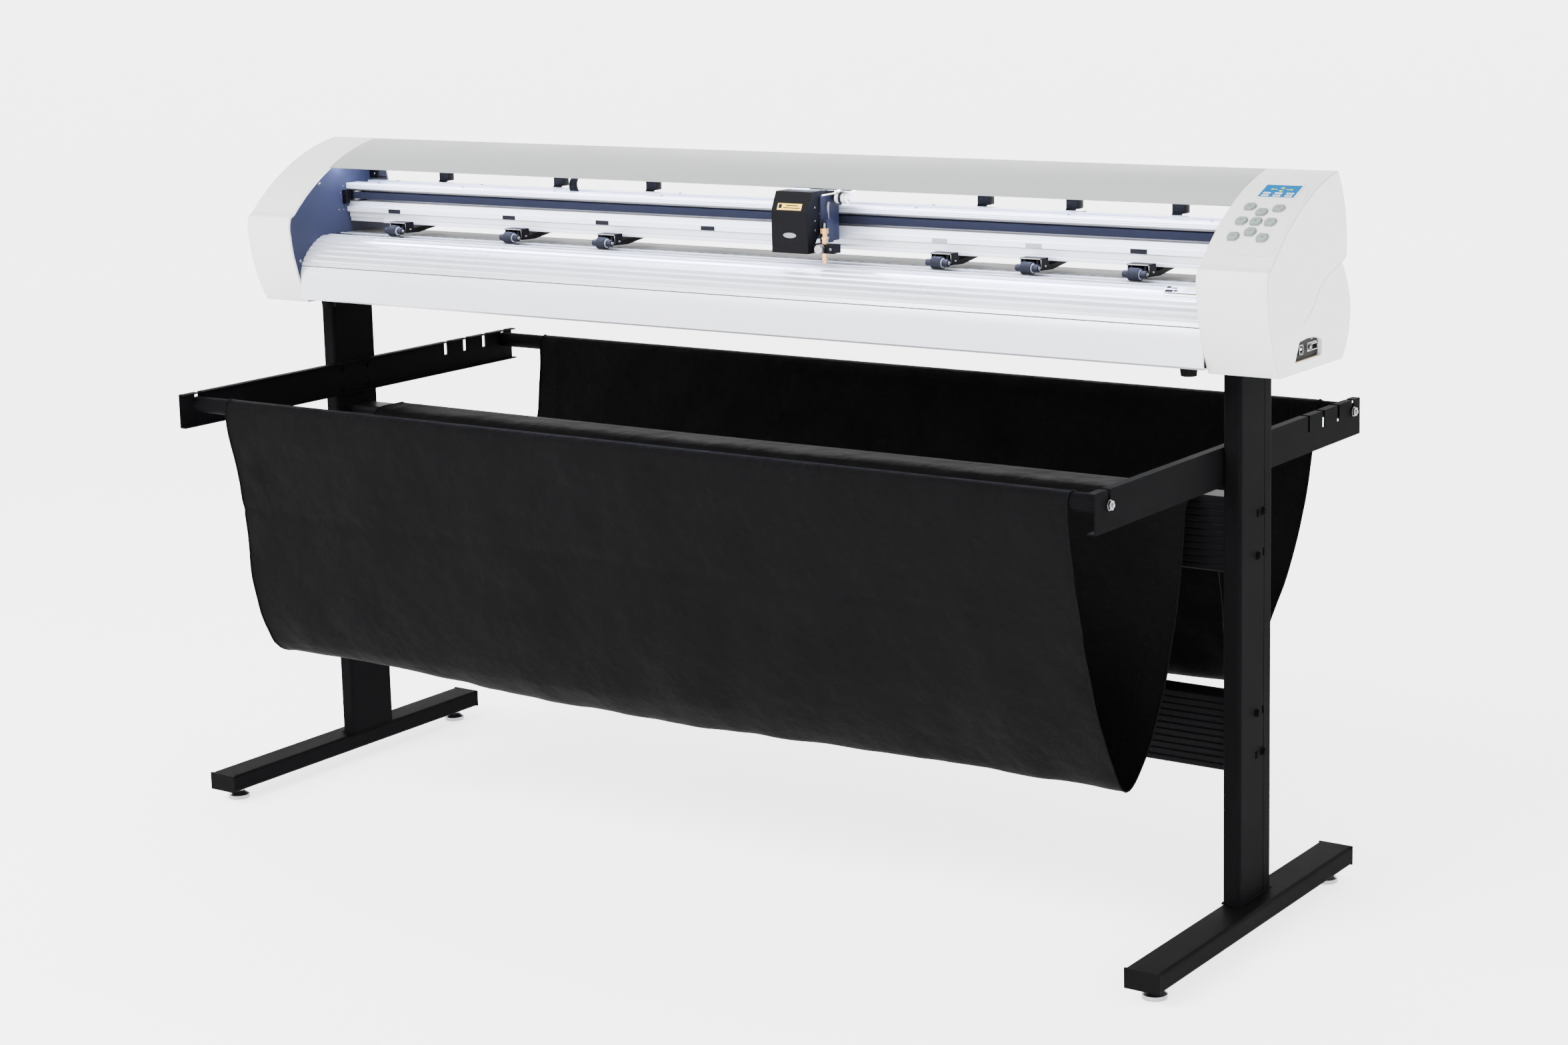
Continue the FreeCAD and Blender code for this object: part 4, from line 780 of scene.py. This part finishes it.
def make_weld_beads():
    """Rippled weld round the foot of each column."""
    beads, front, rear, foot_top, ripple = [], -50, 52, 49.2, 0.25
    for inner, out in STAND_SIDES:
        outer = inner + out * COLUMN_WIDE
        corners = [(inner, front), (outer, front), (outer, rear), (inner, rear)]
        for (x0, y0), (x1, y1) in zip(corners, corners[1:] + corners[:1]):
            steps = 8 if x0 != x1 else 26
            path = [(x0 + (x1 - x0) * n / steps, y0 + (y1 - y0) * n / steps, foot_top + ripple * (n % 2))
                    for n in range(steps + 1)]
            beads.append(tube(path, 1.5))
    piece("weld_beads", *merged(beads), MATERIALS["stand_black"], slot="stand_black")


# ---- basket cloth --------------------------------------------------------------------------------

CLOTH_LEFT, CLOTH_RIGHT = -797, 771
CLOTH_GAP, ROD_RADIUS = 1.2, 13
CLOTH_STEP, CLOTH_COLUMNS = 9, 150


def rod_wrap(rod, first, last, step):
    """Points of the cloth's path round a rod, from one angle to another in degrees."""
    radius = ROD_RADIUS + CLOTH_GAP
    return [(rod[0] + radius * math.cos(math.radians(d)), rod[1] + radius * math.sin(math.radians(d)))
            for d in range(first, last, step)]


def cloth_profiles():
    """Side views of the sling at its left and its right end, as points along and up: round the front rod,
    down the deep front trough, over the upper crossbeam, down the rear trough and round the rear rod."""
    left = [(-393, 656), (-384, 598), (-376, 526), (-368, 460), (-359, 397), (-347, 342), (-331, 304),
            (-316, 283), (-292, 268), (-262, 262), (-228, 274), (-192, 304), (-155, 350), (-120, 402),
            (-88, 458), (-64, 515), (-56, 575), (-52, 620), (-44, 638), (-26, 643.4)]
    right = [(-391, 662), (-372, 598), (-349, 526), (-330, 460), (-312, 397), (-284, 336), (-252, 284),
             (-234, 263), (-221, 257), (-206, 260), (-186, 274), (-163, 300), (-134, 350), (-107, 402),
             (-82, 458), (-62, 515), (-55, 575), (-52, 620), (-44, 638), (-26, 643.4)]
    saddle = [(-8, 643.4), (14, 643.4), (30, 642)]
    rear = [(40, 626), (50, 560), (64, 470), (80, 390), (92, 346), (108, 331), (132, 330), (170, 348),
            (215, 384), (268, 438), (318, 500), (350, 566), (368, 636), (376, 675)]
    start, end = rod_wrap(FRONT_ROD, -60, 181, 15), rod_wrap(REAR_ROD, 180, -61, -15)
    return [[Vector((0, y, z)) for y, z in start + front + saddle + rear + end] for front in (left, right)]


def resampled(points, spacing):
    """Points evenly spaced along a path, and the path's length."""
    lengths = [0.0]
    for a, b in zip(points, points[1:]):
        lengths.append(lengths[-1] + (b - a).length)
    count = round(lengths[-1] / spacing)
    out, i = [], 0
    for step in range(count + 1):
        target = lengths[-1] * step / count
        while i < len(lengths) - 2 and lengths[i + 1] < target:
            i += 1
        share = (target - lengths[i]) / max(1e-9, lengths[i + 1] - lengths[i])
        out.append(points[i].lerp(points[i + 1], share))
    return out, lengths[-1]


def uneven(across, down, across_size, down_size, layer):
    """Smooth noise between -1 and 1, with waves of a size across and down the cloth."""
    return noise.noise(Vector((across / across_size, down / down_size, layer)))


def cloth_relief(across, down):
    """How far the loose cloth stands off its plain shape, along its normal."""
    share = (across - CLOTH_LEFT) / (CLOTH_RIGHT - CLOTH_LEFT)
    slow = uneven(across, down, 420, 260, 1.3) * 9
    folds = uneven(across, down, 95, 420, 7.1) * 3.2
    small = uneven(across, down, 38, 46, 3.7) * 0.9
    ends = math.exp(-share * 14) + math.exp(-(1 - share) * 14)
    pull = ends * 4.5 * math.sin(down / 34 + share * 9) * (0.4 + uneven(across, down, 60, 90, 9))
    return slow + folds + small + pull


def looseness(point):
    """0 where the cloth lies on a rod or the crossbeam, 1 where it hangs free."""
    along, up = point.y, point.z
    to_rod = min(math.dist((along, up), FRONT_ROD), math.dist((along, up), REAR_ROD)) - 15
    to_rail = abs(along - 2) + abs(up - 643) * 0.6 - 34
    return max(0.0, min(1.0, to_rod / 110)) * max(0.0, min(1.0, to_rail / 90))


def cloth_vertices():
    """Rows of the cloth's vertices down its path, and the path's length."""
    left, right = cloth_profiles()
    path, length = resampled(smooth_path(right, 6), CLOTH_STEP)
    left_path, _ = resampled(smooth_path(left, 6), CLOTH_STEP)
    last = len(path) - 1
    rows = []
    for i, point in enumerate(path):
        left_point = left_path[round(i * (len(left_path) - 1) / last)]
        tangent = (path[min(i + 1, last)] - path[max(i - 1, 0)]).normalized()
        normal = Vector((0, -tangent.z, tangent.y))
        down, zone = i * CLOTH_STEP, looseness(point)
        bottom, reach = (262, 90) if point.y < 0 else (330, 80)
        low = max(0.0, 1 - abs(point.z - bottom) / reach)
        row = []
        for j in range(CLOTH_COLUMNS + 1):
            share = j / CLOTH_COLUMNS
            across = CLOTH_LEFT + (CLOTH_RIGHT - CLOTH_LEFT) * share
            across = -13 + (across + 13) * (1 - 0.008 * zone)
            if point.y > 40:
                across += 22 * (1 - share) * min(1, (point.y - 40) / 200)
            relief = cloth_relief(across, down)
            if point.y < -150 and down < 420:  # a long pressed crease down the front panel
                relief += 2.4 * math.exp(-((down - 232 - 24 * share) / 7) ** 2)
            spot = left_point.lerp(point, min(1, share * 1.25))
            sag = -13 * math.sin(math.pi * share) * low
            row.append(Vector((across, spot.y, spot.z + sag)) + normal * relief * zone)
        rows.append(row)
    return rows, length


def make_cloth():
    """One sling of black nylon over two rods and the upper crossbeam, with hems and a sewn edge."""
    rows, length = cloth_vertices()
    width = CLOTH_COLUMNS + 1
    faces = [[i * width + j, i * width + j + 1, (i + 1) * width + j + 1, (i + 1) * width + j]
             for i in range(len(rows) - 1) for j in range(CLOTH_COLUMNS)]
    vertices = [vertex for row in rows for vertex in row]
    cloth = piece("basket_cloth", vertices, faces, MATERIALS["cloth_black"], slot="cloth_black", angle=80)
    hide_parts("basket_front", "basket_rear")
    hems = [tube([row[j] + Vector((shift, 0, 0)) for row in rows], 1.5)
            for j, shift in ((0, 0.9), (-1, -0.9))]
    hem = piece("cloth_hems", *merged(hems), MATERIALS["cloth_black"], slot="cloth_black")
    stitches = []
    for j in (4, CLOTH_COLUMNS - 4):
        for row, next_row in zip(rows[6:-6], rows[7:-5]):
            spot, ahead = row[j], next_row[j]
            tangent = (ahead - spot).normalized()
            lift = Vector((0, -tangent.z, tangent.y)) * 0.6
            stitches.append(tube([spot + lift, spot.lerp(ahead, 0.6) + lift], 0.45, 6))
    seam = piece("cloth_stitches", *merged(stitches), PAINT["thread_black"], slot="cloth_black")


# ---- camera, stage and light ---------------------------------------------------------------------


def make_camera():
    """A long lens from the front right, a little above the head. Places are in metres from here on."""
    data = bpy.data.cameras.new("camera")
    camera = bpy.data.objects.new("camera", data)
    bpy.context.scene.collection.objects.link(camera)
    data.lens = 65.9
    data.sensor_width = 36
    data.shift_y = -0.078
    data.clip_end = 60
    yaw, pitch, roll = math.radians(35.26), math.radians(9.72), math.radians(-1.42)
    forward = Vector((-math.sin(yaw) * math.cos(pitch), math.cos(yaw) * math.cos(pitch), -math.sin(pitch)))
    turn = forward.to_track_quat("-Z", "Y").to_matrix() @ Matrix.Rotation(roll, 3, "Z")
    camera.matrix_world = Matrix.Translation((2.606, -3.631, 1.478)) @ turn.to_4x4()
    bpy.context.scene.camera = camera


def stage_material(colour):
    """Evenly lit paper with a faint drift in its tone."""
    mat, nodes, links, shader, where = new_material("stage_paper")
    tone = add_noise(nodes, links, where, 2, 2)
    ramp = nodes.new("ShaderNodeValToRGB")
    ramp.color_ramp.elements[0].color = [c * 0.985 for c in colour] + [1]
    ramp.color_ramp.elements[1].color = list(colour) + [1]
    links.new(tone, ramp.inputs["Fac"])
    links.new(ramp.outputs["Color"], shader.inputs["Base Color"])
    links.new(ramp.outputs["Color"], shader.inputs["Emission Color"])
    shader.inputs["Emission Strength"].default_value = 2.4
    shader.inputs["Roughness"].default_value = 0.9
    return mat


def make_stage():
    """Pale round floor that curves up into a wall all the way round the object."""
    inner_radius, floor_radius, wall_height, bend, segments = 3.0, 8.0, 8.0, 2.5, 72
    profile = [(inner_radius, 0.0), (floor_radius, 0.0)]
    profile += [(floor_radius + bend * math.sin(a), bend - bend * math.cos(a))
                for a in [math.radians(d) for d in range(10, 91, 10)]]
    profile.append((floor_radius + bend, wall_height))
    vertices, upright, right = [], Vector((0, 0, 1)), Vector((1, 0, 0))
    for radius, height in profile:
        vertices += circle_points(upright * height, upright, right, radius, segments)
    faces = ring_faces(len(profile), segments) + end_faces(1, segments)[:1]
    mesh = bpy.data.meshes.new("backdrop")
    mesh.from_pydata(vertices, [], faces)
    for polygon in mesh.polygons:
        polygon.use_smooth = True
    mesh.materials.append(stage_material((0.93, 0.93, 0.93)))
    floor = bpy.data.objects.new("backdrop", mesh)
    bpy.context.scene.collection.objects.link(floor)


def area_light(name, place, target, size, power):
    """Rectangular lamp that looks at a point."""
    data = bpy.data.lights.new(name, "AREA")
    data.shape = "RECTANGLE"
    data.size, data.size_y = size
    data.energy = power
    light = bpy.data.objects.new(name, data)
    light.location = place
    light.rotation_euler = (Vector(target) - Vector(place)).to_track_quat("-Z", "Y").to_euler()
    bpy.context.scene.collection.objects.link(light)


def make_lights():
    """Soft light in a pale room: a big key over the operator's side, a top light and a weak rear one."""
    world = bpy.data.worlds.new("room")
    world.use_nodes = True
    background = world.node_tree.nodes["Background"]
    background.inputs["Color"].default_value = (0.97, 0.98, 1.0, 1)
    background.inputs["Strength"].default_value = 0.25
    bpy.context.scene.world = world
    area_light("key", (-1.2, -3.6, 3.8), (0, 0, 0.7), (3.2, 2.2), 480)
    area_light("top", (0.2, 0.6, 4.4), (0, 0, 0.8), (4.0, 2.0), 110)
    area_light("rear", (-2.0, 3.6, 2.6), (0, 0, 0.6), (2.5, 2.0), 40)


# ---- the whole scene -----------------------------------------------------------------------------

dress_cad()
make_console()
make_beam_details()
make_platen_details()
make_roller_details()
make_side_details()
make_cap_details()
make_connector_details()
make_labels()
make_carriage_top()
make_carriage_side()
make_clamp_details()
make_holder_details()
make_bolt_details()
make_nuts()
make_threads()
make_weld_beads()
make_cloth()
make_camera()
make_stage()
make_lights()
